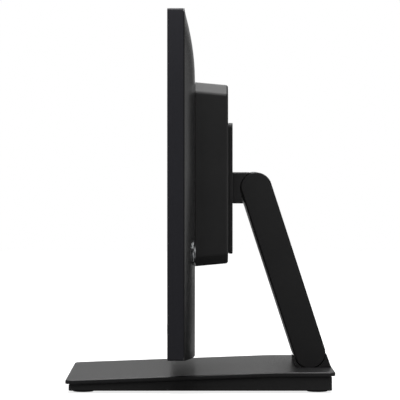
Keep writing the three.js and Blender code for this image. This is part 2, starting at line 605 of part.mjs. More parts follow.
function makeBack(screen) {
  // Pressed chassis behind the display, with posts that carry the board and the stand.
  const sheet = block([-231, 231], [SHEET_FRONT, SHEET_REAR], [100, 396]);
  const apron = block([-88, 88], [SHEET_FRONT, SHEET_REAR], [52, 101]);
  const boardPosts = [[-36, 152], [134, 152], [-36, 306], [134, 306]].map(([x, z]) => (
    rod('y', 3, -21, -7.8, x, z, 12)));
  const standPosts = boltPlaces.map(({ x, z }) => rod('y', 4.5, -21, BOX_REAR - BOX_WALL - GAP, x, z, 16));
  const threads = boltPlaces.map(({ x, z }) => rod('y', SCREW_BORE, 12, REACH, x, z, 12));
  const stiffeners = [-170, 170].map((x) => block([x - 6, x + 6], [-21, -17], [120, 370]));
  place(screen, 'chassis', ZINC_SHEET,
    cut(joined([sheet, apron, ...stiffeners, ...boardPosts, ...standPosts]), threads));

  // Rear cover: a thin crowned shell on the edges of the bezel's walls, with a lip inside them.
  const rim = WALL + GAP;
  const plan = (inset, radius, front, rear) => prismY(roundedRectangle(-SCREEN_WIDTH / 2 + inset,
    SCREEN_WIDTH / 2 - inset, SCREEN_BOTTOM + inset, SCREEN_TOP - inset, radius), front, rear);
  const crown = crownedBlock(0, SCREEN_RIM - RIM_EDGE, 0).intersect(plan(0, SCREEN_CORNER, -REACH, REACH));
  const lip = plan(rim, SCREEN_CORNER - WALL, -20, SCREEN_RIM - RIM_EDGE / 2);
  const shell = joined([crown, lip]).subtract(crownedBlock(rim + WALL, -30, WALL));
  const holeHalf = BOX_HALF_WIDTH - BOX_HOLE_INSET;
  const boxHole = prismY(roundedRectangle(-holeHalf, holeHalf, BOX_BOTTOM + BOX_HOLE_INSET,
    BOX_TOP - BOX_HOLE_INSET, 4), -REACH, REACH);
  const sideRelief = block([-REACH, -SCREEN_WIDTH / 2 + 26], [-REACH, SIDE_SOCKET_REAR + 1],
    [SIDE_SOCKETS[0].z - 12, SIDE_SOCKETS[2].z + 12]);
  const lockSlot = block([LOCK.x - 1.5, LOCK.x + 1.5], [-REACH, REACH], [LOCK.z - 3.5, LOCK.z + 3.5]);
  place(screen, 'rear_cover', BLACK_PLASTIC, cut(shell, [boxHole, sideRelief, lockSlot]));

  // Steel ring around the slot for a security lock, set flat on the slope of the rear cover.
  const lock = new THREE.Group();
  lock.position.set(LOCK.x, rearSurface(LOCK.x, LOCK.z) + GAP + 0.1, LOCK.z);
  lock.rotation.z = -LOCK.tilt;
  screen.add(lock);
  const ringOutline = [
    [0, LOCK.bore], [0, LOCK.radius], [0.5, LOCK.radius], [1.1, 10.2], [1.1, 7.6],
    [0.6, LOCK.bore], [0, LOCK.bore],
  ];
  const ring = new THREE.LatheGeometry(ringOutline.map(([along, radius]) => (
    new THREE.Vector2(radius, along))), 40);
  place(lock, 'lock_ring', STEEL, solid(ring));

  // Box cover with air slots in its top and rear, and a cut-out for each socket in its bottom.
  const hollow = draftedBox(BOX_WALL, BOX_REAR - BOX_WALL);
  const topSlots = Array.from({ length: TOP_SLOTS.count }, (unused, i) => {
    const x = (i - (TOP_SLOTS.count - 1) / 2) * TOP_SLOTS.pitch;
    return block([x - TOP_SLOTS.half, x + TOP_SLOTS.half], [TOP_SLOTS.front, TOP_SLOTS.rear],
      [BOX_TOP - 10, BOX_TOP + 5]);
  });
  const fanSlots = Array.from({ length: FAN_SLOTS.count }, (unused, i) => {
    const x = FAN.x + (i - (FAN_SLOTS.count - 1) / 2) * FAN_SLOTS.pitch;
    return block([x - FAN_SLOTS.half, x + FAN_SLOTS.half], [BOX_REAR - 6, BOX_REAR + 2],
      [FAN.z - FAN_SLOTS.rise, FAN.z + FAN_SLOTS.rise]);
  });
  const socketCuts = SOCKETS.map(({ x, width, deep }) => block(
    [x - width / 2 - GAP, x + width / 2 + GAP], [SOCKET_FRONT - GAP, SOCKET_FRONT + deep + GAP],
    [BOX_BOTTOM - 5, BOX_BOTTOM + 8]));
  const boltHoles = boltPlaces.map(({ x, z }) => rod('y', SCREW_BORE, BOX_REAR - 8, REACH, x, z, 12));
  place(screen, 'box_cover', BLACK_PLASTIC, cut(draftedBox(0, BOX_REAR), [
    hollow, crownedBlock(-1, -40, -GAP), ...topSlots, ...fanSlots, ...socketCuts, ...boltHoles,
  ]));
}

function makeHead(screen) {
  const pivot = {
    y: BASE_PIVOT.y - ARM_LENGTH * Math.sin(ARM_LEAN),
    z: BASE_PIVOT.z + ARM_LENGTH * Math.cos(ARM_LEAN),
  };
  const half = MOUNT_SIZE / 2;

  // Square plate on the back of the box, held by four screws.
  const plate = prismY(roundedRectangle(-half, half, MOUNT_CENTRE_Z - half, MOUNT_CENTRE_Z + half, 5),
    MOUNT_FRONT, MOUNT_REAR);
  const headFace = MOUNT_REAR - 0.2;
  const holes = boltPlaces.flatMap(({ x, z }) => [
    rod('y', SCREW_BORE, 0, REACH, x, z, 12),
    rod('y', SCREW_HEAD_RADIUS + GAP, headFace - SCREW_HEAD_THICK - GAP, REACH, x, z, 16),
  ]);
  place(screen, 'mount_plate', BASE_PAINT, cut(plate, holes));
  boltPlaces.forEach(({ x, z }, i) => {
    place(screen, `mount_screw_${i + 1}`, STEEL, joined([
      rod('y', SCREW_HEAD_RADIUS, headFace - SCREW_HEAD_THICK, headFace, x, z, 16),
      rod('y', SCREW_SHANK, 13, headFace - 1, x, z, 12),
    ]));
  });

  // Bracket with a saddle around the arm's upper end, and slots for the lugs.
  const bracketShape = roundedRectangle(MOUNT_REAR + GAP, pivot.y - HEAD_BRACKET_END,
    pivot.z - HEAD_BRACKET_HALF, pivot.z + HEAD_BRACKET_HALF, HEAD_BRACKET_CORNER);
  const bracket = prismX(bracketShape, -ARM_WIDTH / 2, ARM_WIDTH / 2, 3);
  const sweeps = [ARM_LEAN, ARM_LEAN - HEAD_MOST_FORWARD].map((lean) => (
    armSweep(lean, ARM_LENGTH, pivot.y, pivot.z)));
  const lugStart = MOUNT_REAR + 2;
  const lugSlots = SIDES.map(([, side]) => block(
    sideSpan(side, LUG_X - LUG_THICK / 2 - GAP, LUG_X + LUG_THICK / 2 + GAP),
    [lugStart - GAP, REACH], [pivot.z - LUG_RADIUS - GAP, pivot.z + LUG_RADIUS + GAP]));
  place(screen, 'head_bracket', BLACK_PLASTIC, cut(bracket, [...sweeps, ...lugSlots]));

  for (const [name, side] of SIDES) {
    const across = sideSpan(side, LUG_X - LUG_THICK / 2, LUG_X + LUG_THICK / 2);
    const lug = joined([
      rod('x', LUG_RADIUS, ...across, pivot.y, pivot.z, 32),
      block(across, [lugStart, pivot.y], [pivot.z - LUG_RADIUS, pivot.z + LUG_RADIUS]),
    ]);
    place(screen, `head_lug_${name}`, STEEL,
      lug.subtract(rod('x', PIN_BORE, -REACH, REACH, pivot.y, pivot.z, 32)));
  }
}

function makeComputer(screen) {
  const boardFront = -7.5;
  const boardRear = boardFront + 1.6;
  const onBoard = boardRear + GAP;

  // Main board, cut away around the two posts that pass it.
  const board = block([-42, 140], [boardFront, boardRear], [146, 312]);
  const postHoles = boltPlaces.filter(({ x }) => x > 0).map(({ x, z }) => rod('y', 6, -20, 20, x, z, 16));
  place(screen, 'main_board', BOARD, cut(board, postHoles));

  // Processor cooler: a plate on the chip, a bent heat pipe, and fins across the fan's outlet.
  const finBase = FAN.z + FAN.half + 2;
  const fins = Array.from({ length: 14 }, (unused, i) => {
    const x = FAN.x - 32 + i * 5;
    return block([x - 0.5, x + 0.5], [FAN.front + 1, FAN.rear - 2], [finBase, finBase + 18]);
  });
  const pipe = joined([
    block([-4, 44], [onBoard, onBoard + 4], [205, 245]),
    block([16, 24], [onBoard + 3, onBoard + 9], [215, finBase + 9]),
    block([16, FAN.x + 34], [onBoard + 4, onBoard + 9], [finBase + 5, finBase + 12]),
  ]);
  place(screen, 'cpu_cooler', ALUMINIUM, joined([pipe, ...fins]));

  // Blower: a square housing with a round chamber, open at the rear and towards the fins.
  const chamber = rod('y', FAN.half - 3, FAN.front + 1.8, FAN.rear - 1.8, FAN.x, FAN.z, 32);
  const inlet = rod('y', 20, FAN.rear - 4, FAN.rear + 2, FAN.x, FAN.z, 32);
  const outlet = block([FAN.x - 26, FAN.x + 26], [FAN.front + 1.8, FAN.rear - 1.8],
    [FAN.z + 10, FAN.z + FAN.half + 2]);
  const housing = block([FAN.x - FAN.half, FAN.x + FAN.half], [FAN.front, FAN.rear],
    [FAN.z - FAN.half, FAN.z + FAN.half]);
  place(screen, 'fan_housing', INNER_PLASTIC, cut(housing, [chamber, inlet, outlet])
    .add(rod('y', 2.5, FAN.front + 1, FAN.rear - 6, FAN.x, FAN.z, 12)));

  // Fan wheel: a hub with swept blades, turning on the housing's post.
  const hubRear = FAN.rear - 4;
  const hub = rod('y', 12, FAN.front + 3, hubRear, FAN.x, FAN.z);
  const blades = Array.from({ length: 11 }, (unused, i) => {
    const blade = new THREE.BoxGeometry(17, hubRear - FAN.front - 5, 1.2).translate(19, 0, 4);
    blade.rotateY((i * Math.PI * 2) / 11).translate(FAN.x, (FAN.front + hubRear) / 2 + 0.5, FAN.z);
    return solid(blade);
  });
  place(screen, 'fan_wheel', INNER_PLASTIC, joined([hub, ...blades])
    .subtract(rod('y', 2.8, FAN.front, FAN.rear - 5.6, FAN.x, FAN.z, 12)));

  // Memory lies flat over the board, one module above the other.
  for (const [i, lift] of [0, 5].entries()) {
    place(screen, `memory_module_${i + 1}`, BOARD, joined([
      block([-38, 10], [onBoard + 1 + lift, onBoard + 2.2 + lift], [262, 292]),
      block([-34, -20], [onBoard + 2 + lift, onBoard + 3.4 + lift], [268, 286]),
      block([-8, 6], [onBoard + 2 + lift, onBoard + 3.4 + lift], [268, 286]),
    ]));
  }
  place(screen, 'wireless_card', BOARD, joined([
    block([-36, -14], [onBoard + 2, onBoard + 3], [196, 226]),
    block([-34, -18], [onBoard + 2.8, onBoard + 4.6], [200, 216]),
  ]));
  place(screen, 'storage_drive', ALUMINIUM, joined([
    block([-35, 65], [-20.3, -11.6], [60, 130]),
    block([-30, 60], [-12, -11], [66, 124]),
  ]));

  // Power supply: a thin metal case with rows of air slots in its top.
  const supply = { x: [-140, -60], y: [-20.2, 16], z: [168, 318] };
  const within = ([low, high]) => [low + SUPPLY_WALL, high - SUPPLY_WALL];
  const supplySlots = Array.from({ length: 9 }, (unused, i) => {
    const x = supply.x[0] + 8 + i * 8;
    return block([x - 1.5, x + 1.5], [-14, 10], [supply.z[1] - 4, supply.z[1] + 4]);
  });
  place(screen, 'power_supply', ZINC_SHEET, cut(block(supply.x, supply.y, supply.z),
    [block(within(supply.x), within(supply.y), within(supply.z)), ...supplySlots]));
}

function makeSockets(screen) {
  const clearFrom = SOCKET_FLOOR - 1;
  const cavities = {
    power_inlet: ({ x, deep }) => [cavity(x, 24, deep, 16.4, 16)],
    lan_socket: ({ x, deep }) => [cavity(x, 12, deep, 9, 15)],
    display_socket: ({ x, deep }) => [cavity(x, 16.2, deep, 5, 12)],
    usb_socket_1: ({ x, deep }) => [cavity(x, 12.6, deep, 5, 13)],
    usb_socket_2: ({ x, deep }) => [cavity(x, 12.6, deep, 5, 13)],
  };
  const tongues = {
    power_inlet: ({ x, deep }) => [-7, 0, 7].map((dx) => {
      const middle = SOCKET_FRONT + deep / 2 + (dx === 0 ? 3.5 : -2);
      return block([x + dx - 1, x + dx + 1], [middle - 2.2, middle + 2.2],
        [SOCKET_FLOOR + 7, SOCKET_FLOOR + 17]);
    }),
    lan_socket: () => [],
    display_socket: ({ x, deep }) => [tongue(x, 13.5, deep, 0)],
    usb_socket_1: ({ x, deep }) => [tongue(x, 11, deep, 1.1)],
    usb_socket_2: ({ x, deep }) => [tongue(x, 11, deep, 1.1)],
  };
  function cavity(x, width, deep, opening, depth) {
    const middle = SOCKET_FRONT + deep / 2;
    return block([x - width / 2, x + width / 2], [middle - opening / 2, middle + opening / 2],
      [clearFrom, SOCKET_FLOOR + depth]);
  }
  function tongue(x, width, deep, shift) {
    const middle = SOCKET_FRONT + deep / 2 + shift;
    return block([x - width / 2, x + width / 2], [middle - 0.9, middle + 0.9],
      [SOCKET_FLOOR + 1.5, SOCKET_FLOOR + 16]);
  }
  for (const socket of SOCKETS) {
    const { name, x, width, deep, tall } = socket;
    const shell = block([x - width / 2, x + width / 2], [SOCKET_FRONT, SOCKET_FRONT + deep],
      [SOCKET_FLOOR, SOCKET_FLOOR + tall]);
    place(screen, name, name === 'power_inlet' ? INNER_PLASTIC : STEEL,
      joined([cut(shell, cavities[name](socket)), ...tongues[name](socket)]));
  }

  // Side sockets look out to the left.
  const mouth = -SCREEN_WIDTH / 2 + 0.6;
  const middleY = (SIDE_SOCKET_FRONT + SIDE_SOCKET_REAR) / 2;
  for (const { name, z, length } of SIDE_SOCKETS) {
    const shell = block([mouth, mouth + SIDE_SOCKET_DEPTH], [SIDE_SOCKET_FRONT, SIDE_SOCKET_REAR],
      [z - length / 2, z + length / 2]);
    const isJack = name === 'headset_socket';
    const hollow = isJack
      ? rod('x', 1.8, mouth - 1, mouth + 11, middleY, z, 16)
      : block([mouth - 1, mouth + 11], [middleY - 2.5, middleY + 2.5], [z - 6.3, z + 6.3]);
    const shaped = shell.subtract(hollow);
    place(screen, name, isJack ? INNER_PLASTIC : STEEL, isJack ? shaped : shaped.add(block(
      [mouth + 1.5, mouth + 12], [middleY + 0.4, middleY + 2.2], [z - 5.5, z + 5.5])));
  }
}

const computer = new THREE.Group();
computer.add(makeBase(), makeArm(), makeScreen());

export default computer;
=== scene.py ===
import json
import math
import bmesh
import bpy
from mathutils import Matrix, Vector


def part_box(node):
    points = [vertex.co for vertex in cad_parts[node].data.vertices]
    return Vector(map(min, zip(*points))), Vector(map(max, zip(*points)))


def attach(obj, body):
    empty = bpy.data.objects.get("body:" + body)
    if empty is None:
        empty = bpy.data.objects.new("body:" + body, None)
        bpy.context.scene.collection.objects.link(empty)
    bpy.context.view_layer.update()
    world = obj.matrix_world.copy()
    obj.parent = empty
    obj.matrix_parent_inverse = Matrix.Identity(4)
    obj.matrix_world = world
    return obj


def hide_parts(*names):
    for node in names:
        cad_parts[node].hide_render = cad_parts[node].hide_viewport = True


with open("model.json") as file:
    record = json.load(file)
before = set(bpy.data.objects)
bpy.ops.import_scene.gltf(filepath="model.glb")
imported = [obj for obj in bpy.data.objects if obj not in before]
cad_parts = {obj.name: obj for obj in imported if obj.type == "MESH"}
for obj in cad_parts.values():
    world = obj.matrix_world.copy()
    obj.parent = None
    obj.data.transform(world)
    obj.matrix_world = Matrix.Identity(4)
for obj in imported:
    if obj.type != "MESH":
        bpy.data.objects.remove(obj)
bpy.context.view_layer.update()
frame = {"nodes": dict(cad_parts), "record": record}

camera_lens = bpy.data.cameras.new("camera")
camera_lens.lens = 232.4
camera_lens.sensor_width = 36
camera_lens.shift_x = 0.02875
camera_lens.shift_y = -0.1065
camera = bpy.data.objects.new("camera", camera_lens)
camera.location = (2.856, -0.01255, 0.250)
camera.rotation_euler = (math.pi / 2, 0, math.pi / 2)
bpy.context.scene.collection.objects.link(camera)
bpy.context.scene.camera = camera

# Desk and light: a desk and surround that show as plain white but light the object more dimly,
# so that black plastic keeps its shape. The light comes from a wide lamp overhead, two small side
# lamps, a sky that is dark near the horizon, and soft patches at the left and the rear left.
FLOOR_HALF = 4.0
SKY_HORIZON = 0.08
SKY_RISE_FROM, SKY_RISE_TO = 0.40, 0.9
SKY_TOP = 0.85
SKY_BEHIND = 0.40
SKY_BEHIND_FROM, SKY_BEHIND_TO = -0.955, -1.0
SKY_REAR_LEFT = 0.20
SOFTBOX_FROM, SOFTBOX_TO = 0.95, 0.995
OVERHEAD_WATTS = 27
OVERHEAD_SIZE, OVERHEAD_HEIGHT = 1.6, 1.7
SIDE_WATTS = 1.1
SIDE_SIZE, SIDE_OUT, SIDE_HEIGHT = 0.3, 0.72, 0.78
SIDE_AIM_OUT, SIDE_AIM_HEIGHT = 0.24, 0.36
FLOOR_DULL, FLOOR_PALE = 0.18, 0.17
FLOOR_PALE_FROM, FLOOR_PALE_TO = -0.35, -0.95
SOFTBOX_WAY = (-0.78, 0.626, 0.0)
FLOOR_SIDE_FROM, FLOOR_SIDE_TO, FLOOR_SIDE_GAIN = 0.45, 1.0, 5.5
FLOOR_GLOW = 0.82
bpy.context.scene.view_settings.view_transform = "Standard"

floor_mesh = bmesh.new()
bmesh.ops.create_grid(floor_mesh, x_segments=1, y_segments=1, size=FLOOR_HALF)
floor_data = bpy.data.meshes.new("desk")
floor_mesh.to_mesh(floor_data)
floor_mesh.free()
floor = bpy.data.objects.new("desk", floor_data)
bpy.context.scene.collection.objects.link(floor)
floor_paint = bpy.data.materials.new("desk_white")
floor_paint.use_nodes = True
tree = floor_paint.node_tree
tree.nodes.clear()
seen = tree.nodes.new("ShaderNodeLightPath")
dull = tree.nodes.new("ShaderNodeBsdfDiffuse")
place = tree.nodes.new("ShaderNodeNewGeometry")
apart = tree.nodes.new("ShaderNodeSeparateXYZ")
tree.links.new(place.outputs["Position"], apart.inputs[0])
paler = tree.nodes.new("ShaderNodeMapRange")
paler.interpolation_type = "SMOOTHSTEP"
paler.inputs["From Min"].default_value = FLOOR_PALE_FROM
paler.inputs["From Max"].default_value = FLOOR_PALE_TO
paler.inputs["To Min"].default_value = FLOOR_DULL
paler.inputs["To Max"].default_value = FLOOR_PALE
tree.links.new(apart.outputs["X"], paler.inputs["Value"])
aside = tree.nodes.new("ShaderNodeMapRange")
aside.interpolation_type = "SMOOTHSTEP"
aside.inputs["From Min"].default_value = FLOOR_SIDE_FROM
aside.inputs["From Max"].default_value = FLOOR_SIDE_TO
aside.inputs["To Min"].default_value = 1.0
aside.inputs["To Max"].default_value = FLOOR_SIDE_GAIN
tree.links.new(apart.outputs["Y"], aside.inputs["Value"])
paint = tree.nodes.new("ShaderNodeMath")
paint.operation = "MULTIPLY"
tree.links.new(paler.outputs[0], paint.inputs[0])
tree.links.new(aside.outputs[0], paint.inputs[1])
tree.links.new(paint.outputs[0], dull.inputs["Color"])
lit = tree.nodes.new("ShaderNodeBsdfDiffuse")
lit.inputs["Color"].default_value = (0.5, 0.5, 0.5, 1)
glow = tree.nodes.new("ShaderNodeEmission")
glow.inputs["Strength"].default_value = FLOOR_GLOW
white = tree.nodes.new("ShaderNodeAddShader")
tree.links.new(lit.outputs[0], white.inputs[0])
tree.links.new(glow.outputs[0], white.inputs[1])
either = tree.nodes.new("ShaderNodeMixShader")
tree.links.new(seen.outputs["Is Camera Ray"], either.inputs[0])
tree.links.new(dull.outputs[0], either.inputs[1])
tree.links.new(white.outputs[0], either.inputs[2])
ending = tree.nodes.new("ShaderNodeOutputMaterial")
tree.links.new(either.outputs[0], ending.inputs[0])
floor_data.materials.append(floor_paint)

world = bpy.data.worlds.new("studio")
bpy.context.scene.world = world
world.use_nodes = True
tree = world.node_tree
tree.nodes.clear()
way = tree.nodes.new("ShaderNodeTexCoord")
split = tree.nodes.new("ShaderNodeSeparateXYZ")
tree.links.new(way.outputs["Generated"], split.inputs[0])
height = tree.nodes.new("ShaderNodeMapRange")
height.inputs["From Min"].default_value = SKY_RISE_FROM
height.inputs["From Max"].default_value = SKY_RISE_TO
height.inputs["To Min"].default_value = SKY_HORIZON
height.inputs["To Max"].default_value = SKY_TOP
tree.links.new(split.outputs["Z"], height.inputs["Value"])
behind = tree.nodes.new("ShaderNodeMapRange")
behind.interpolation_type = "SMOOTHSTEP"
behind.inputs["From Min"].default_value = SKY_BEHIND_FROM
behind.inputs["From Max"].default_value = SKY_BEHIND_TO
behind.inputs["To Min"].default_value = 0.0
behind.inputs["To Max"].default_value = SKY_BEHIND
tree.links.new(split.outputs["X"], behind.inputs["Value"])
both = tree.nodes.new("ShaderNodeMath")
tree.links.new(height.outputs[0], both.inputs[0])
tree.links.new(behind.outputs[0], both.inputs[1])
slant = tree.nodes.new("ShaderNodeVectorMath")
slant.operation = "DOT_PRODUCT"
slant.inputs[1].default_value = SOFTBOX_WAY
tree.links.new(way.outputs["Generated"], slant.inputs[0])
softbox = tree.nodes.new("ShaderNodeMapRange")
softbox.interpolation_type = "SMOOTHSTEP"
softbox.inputs["From Min"].default_value = SOFTBOX_FROM
softbox.inputs["From Max"].default_value = SOFTBOX_TO
softbox.inputs["To Min"].default_value = 0.0
softbox.inputs["To Max"].default_value = SKY_REAR_LEFT
tree.links.new(slant.outputs["Value"], softbox.inputs["Value"])
total = tree.nodes.new("ShaderNodeMath")
tree.links.new(both.outputs[0], total.inputs[0])
tree.links.new(softbox.outputs[0], total.inputs[1])
sky = tree.nodes.new("ShaderNodeBackground")
sky.inputs["Color"].default_value = (1, 1, 1, 1)
tree.links.new(total.outputs[0], sky.inputs["Strength"])
paper = tree.nodes.new("ShaderNodeBackground")
paper.inputs["Color"].default_value = (1, 1, 1, 1)
seen = tree.nodes.new("ShaderNodeLightPath")
either = tree.nodes.new("ShaderNodeMixShader")
tree.links.new(seen.outputs["Is Camera Ray"], either.inputs[0])
tree.links.new(sky.outputs[0], either.inputs[1])
tree.links.new(paper.outputs[0], either.inputs[2])
ending = tree.nodes.new("ShaderNodeOutputWorld")
tree.links.new(either.outputs[0], ending.inputs[0])


def soft_light(name, watts, width, depth, place, target):
    """A rectangular lamp that points at a spot."""
    lamp = bpy.data.lights.new(name, "AREA")
    lamp.energy = watts
    lamp.shape = "RECTANGLE"
    lamp.size = width
    lamp.size_y = depth
    holder = bpy.data.objects.new(name, lamp)
    holder.location = place
    holder.rotation_euler = (Vector(target) - Vector(place)).to_track_quat("-Z", "Y").to_euler()
    bpy.context.scene.collection.objects.link(holder)


soft_light("overhead", OVERHEAD_WATTS, OVERHEAD_SIZE, OVERHEAD_SIZE, (0, 0, OVERHEAD_HEIGHT),
           (0, 0, 0))
for side in (-1, 1):
    soft_light("side_lamp_%d" % side, SIDE_WATTS, SIDE_SIZE, SIDE_SIZE,
               (side * SIDE_OUT, 0, SIDE_HEIGHT), (side * SIDE_AIM_OUT, 0, SIDE_AIM_HEIGHT))

# Base plate: steel sheet, bent once so that it slopes down from the stand to the front, with
# rolled edges and a satin black powder coat.
MM = 0.001
PLATE_THICK = 4.1 * MM
PLATE_CORNER = 7 * MM
PLATE_ROLL = 1.3 * MM
BEND_Y = 80 * MM
BEND_SOFT = 14 * MM

plate_low, plate_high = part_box("base_plate")


def plate_top(y):
    """Height of the plate's top at a distance behind the middle."""
    front_top = plate_low.z + PLATE_THICK
    slope = (plate_high.z - front_top) / (BEND_Y - plate_low.y)
    if y < BEND_Y - BEND_SOFT:
        return front_top + slope * (y - plate_low.y)
    if y > BEND_Y + BEND_SOFT:
        return plate_high.z
    left = BEND_Y + BEND_SOFT - y
    return plate_high.z - slope * left * left / (4 * BEND_SOFT)


def plan_half(inset, low, high, corner, stations, arc=8):
    """The right half of a rounded rectangle seen from above, from front to rear."""
    corner = max(corner - inset, 0.2 * MM)
    x = high.x - inset
    front, rear = low.y + inset, high.y - inset
    points = []
    for i in range(arc + 1):
        a = math.radians(-90 + 90 * i / arc)
        points.append((x - corner + corner * math.cos(a), front + corner + corner * math.sin(a)))
    points += [(x, y) for y in stations]
    for i in range(arc + 1):
        a = math.radians(90 * i / arc)
        points.append((x - corner + corner * math.cos(a), rear - corner + corner * math.sin(a)))
    return points


def wedge(low, high, corner, rings):
    """A slab with rounded corners whose rings are (inset, height at a given y)."""
    stations = [y * MM for y in (-90, -40, 0, 40, 60, 66, 70, 74, 78, 82, 86, 90, 94, 110)]
    shape = bmesh.new()
    rows = []
    for inset, at_height in rings:
        half = plan_half(inset, low, high, corner, stations)
        right = [shape.verts.new((x, y, at_height(y))) for x, y in half]
        left = [shape.verts.new((-x, y, at_height(y))) for x, y in half]
        rows.append((right, left))
    for (r0, l0), (r1, l1) in zip(rows, rows[1:]):
        loop0, loop1 = r0 + l0[::-1], r1 + l1[::-1]
        for i in range(len(loop0)):
            j = (i + 1) % len(loop0)
            shape.faces.new((loop0[i], loop0[j], loop1[j], loop1[i]))
    for right, left in (rows[0], rows[-1]):
        for i in range(len(right) - 1):
            shape.faces.new((left[i], right[i], right[i + 1], left[i + 1]))
    bmesh.ops.recalc_face_normals(shape, faces=shape.faces)
    return shape


def rolled(radius, steps=5):
    """(inset, drop) pairs for a rounded edge, from the flat to the wall."""
    pairs = []
    for i in range(steps + 1):
        a = math.radians(90 * i / steps)
        pairs.append((radius * (1 - math.sin(a)), radius * (1 - math.cos(a))))
    return pairs


def make_piece(name, shape, finish, body, slot, *nodes, crease=35):
    """A finished piece: shaded smooth up to a crease angle, painted, and carried by its body."""
    for face in shape.faces:
        face.smooth = True
    for edge in shape.edges:
        if len(edge.link_faces) == 2:
            edge.smooth = edge.calc_face_angle(0) < math.radians(crease)
    data = bpy.data.meshes.new(name)
    shape.to_mesh(data)
    shape.free()
    data.materials.append(finish)
    piece = bpy.data.objects.new(name, data)
    bpy.context.scene.collection.objects.link(piece)
    even = piece.modifiers.new("even_shading", "WEIGHTED_NORMAL")
    even.keep_sharp = True
    even.weight = 50
    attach(piece, body)
    if nodes:
        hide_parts(*nodes)
    return piece


def new_finish(name):
    """An empty material with its shader, its links and the piece's own coordinates."""
    finish = bpy.data.materials.new(name)
    finish.use_nodes = True
    nodes, links = finish.node_tree.nodes, finish.node_tree.links
    where = nodes.new("ShaderNodeTexCoord").outputs["Object"]
    return finish, nodes, links, nodes["Principled BSDF"], where


def speckle(nodes, links, where, scale, detail=2.0):
    """A noise pattern; scale is in features per metre."""
    noise = nodes.new("ShaderNodeTexNoise")
    noise.inputs["Scale"].default_value = scale
    noise.inputs["Detail"].default_value = detail
    links.new(where, noise.inputs["Vector"])
    return noise.outputs[0]


def spread(nodes, links, value, low, high, start=0.3, end=0.7):
    """Stretches a pattern to run between two numbers."""
    range_node = nodes.new("ShaderNodeMapRange")
    range_node.inputs["From Min"].default_value = start
    range_node.inputs["From Max"].default_value = end
    range_node.inputs["To Min"].default_value = low
    range_node.inputs["To Max"].default_value = high
    links.new(value, range_node.inputs["Value"])
    return range_node.outputs[0]


def two_tones(nodes, links, value, dark, light, start=0.3, end=0.7):
    """A colour that runs from a dark tone to a light one with a pattern."""
    ramp = nodes.new("ShaderNodeValToRGB")
    ramp.color_ramp.elements[0].position = start
    ramp.color_ramp.elements[1].position = end
    ramp.color_ramp.elements[0].color = (*dark, 1)
    ramp.color_ramp.elements[1].color = (*light, 1)
    links.new(value, ramp.inputs[0])
    return ramp.outputs[0]


def bumped(nodes, links, value, strength, height):
    """The bump of a pattern, whose height is in metres."""
    bump = nodes.new("ShaderNodeBump")
    bump.inputs["Strength"].default_value = strength
    bump.inputs["Distance"].default_value = height
    links.new(value, bump.inputs["Height"])
    return bump.outputs[0]


def grained(name, colour, rough, grain=1500.0, relief=0.35, gloss=0.5, swing=0.12):
    """Black plastic or paint with a fine moulded grain, slight clouding and convex edges painted
    lighter: partly rubbed wear, partly a painted highlight.
    """
    finish, nodes, links, shader, where = new_finish(name)
    fine = speckle(nodes, links, where, grain)
    broad = speckle(nodes, links, where, 22.0, 3.0)
    dark = [c * (1 - swing) for c in colour]
    light = [c * (1 + swing) for c in colour]
    body_colour = two_tones(nodes, links, broad, dark, light)
    # Convex edges (high pointiness) are painted lighter: partly rubbed wear, partly a painted
    # highlight along the edges.
    edges = nodes.new("ShaderNodeNewGeometry").outputs["Pointiness"]
    rub_and_highlight = spread(nodes, links, edges, 0.0, 0.35, 0.53, 0.62)
    wear_and_highlight = nodes.new("ShaderNodeMix")
    wear_and_highlight.data_type = "RGBA"
    wear_and_highlight.inputs["B"].default_value = (*[min(c * 2.4 + 0.006, 1) for c in colour], 1)
    links.new(rub_and_highlight, wear_and_highlight.inputs["Factor"])
    links.new(body_colour, wear_and_highlight.inputs["A"])
    links.new(wear_and_highlight.outputs["Result"], shader.inputs["Base Color"])
    links.new(spread(nodes, links, fine, rough - 0.06, rough + 0.06), shader.inputs["Roughness"])
    links.new(bumped(nodes, links, fine, relief, 0.00006), shader.inputs["Normal"])
    shader.inputs["Specular IOR Level"].default_value = gloss
    return finish


powder_coat = grained("powder_coat", (0.020, 0.020, 0.021), 0.31, grain=1100.0, relief=0.35)
plate_rings = [(inset, lambda y, d=drop: plate_top(y) - d) for inset, drop in rolled(PLATE_ROLL)]
plate_rings += [(inset, lambda y, d=drop: plate_top(y) - PLATE_THICK + d)
                for inset, drop in reversed(rolled(0.6 * MM, 3))]
def loft(rings, cap_first=True, cap_last=True):
    """A skin over rings of points, closed with a flat face at each end."""
    shape = bmesh.new()
    rows = [[shape.verts.new(point) for point in ring] for ring in rings]
    for one, two in zip(rows, rows[1:]):
        for i in range(len(one)):
            j = (i + 1) % len(one)
            shape.faces.new((one[i], one[j], two[j], two[i]))
    if cap_first:
        shape.faces.new(rows[0][::-1])
    if cap_last:
        shape.faces.new(rows[-1])
    bmesh.ops.recalc_face_normals(shape, faces=shape.faces)
    return shape


def carved(shape, cutters):
    """Cuts other shapes out of a shape, one after another."""
    def temporary(bm, name):
        data = bpy.data.meshes.new(name)
        bm.to_mesh(data)
        bm.free()
        held = bpy.data.objects.new(name, data)
        bpy.context.scene.collection.objects.link(held)
        return held

    blank = temporary(shape, "blank")
    tools = [temporary(cutter, "tool") for cutter in cutters]
    for tool in tools:
        cut = blank.modifiers.new("cut", "BOOLEAN")
        cut.operation = "DIFFERENCE"
        cut.solver = "EXACT"
        cut.object = tool
    ready = blank.evaluated_get(bpy.context.evaluated_depsgraph_get())
    result = bmesh.new()
    result.from_mesh(ready.to_mesh())
    for held in [blank, *tools]:
        data = held.data
        bpy.data.objects.remove(held)
        bpy.data.meshes.remove(data)
    bmesh.ops.remove_doubles(result, verts=result.verts, dist=2e-6)
    return result


def box_shape(low, high):
    """A plain block between two corners, for cutting with."""
    corners = [(low[0], low[1]), (high[0], low[1]), (high[0], high[1]), (low[0], high[1])]
    return loft([[(x, y, z) for x, y in corners] for z in (low[2], high[2])])


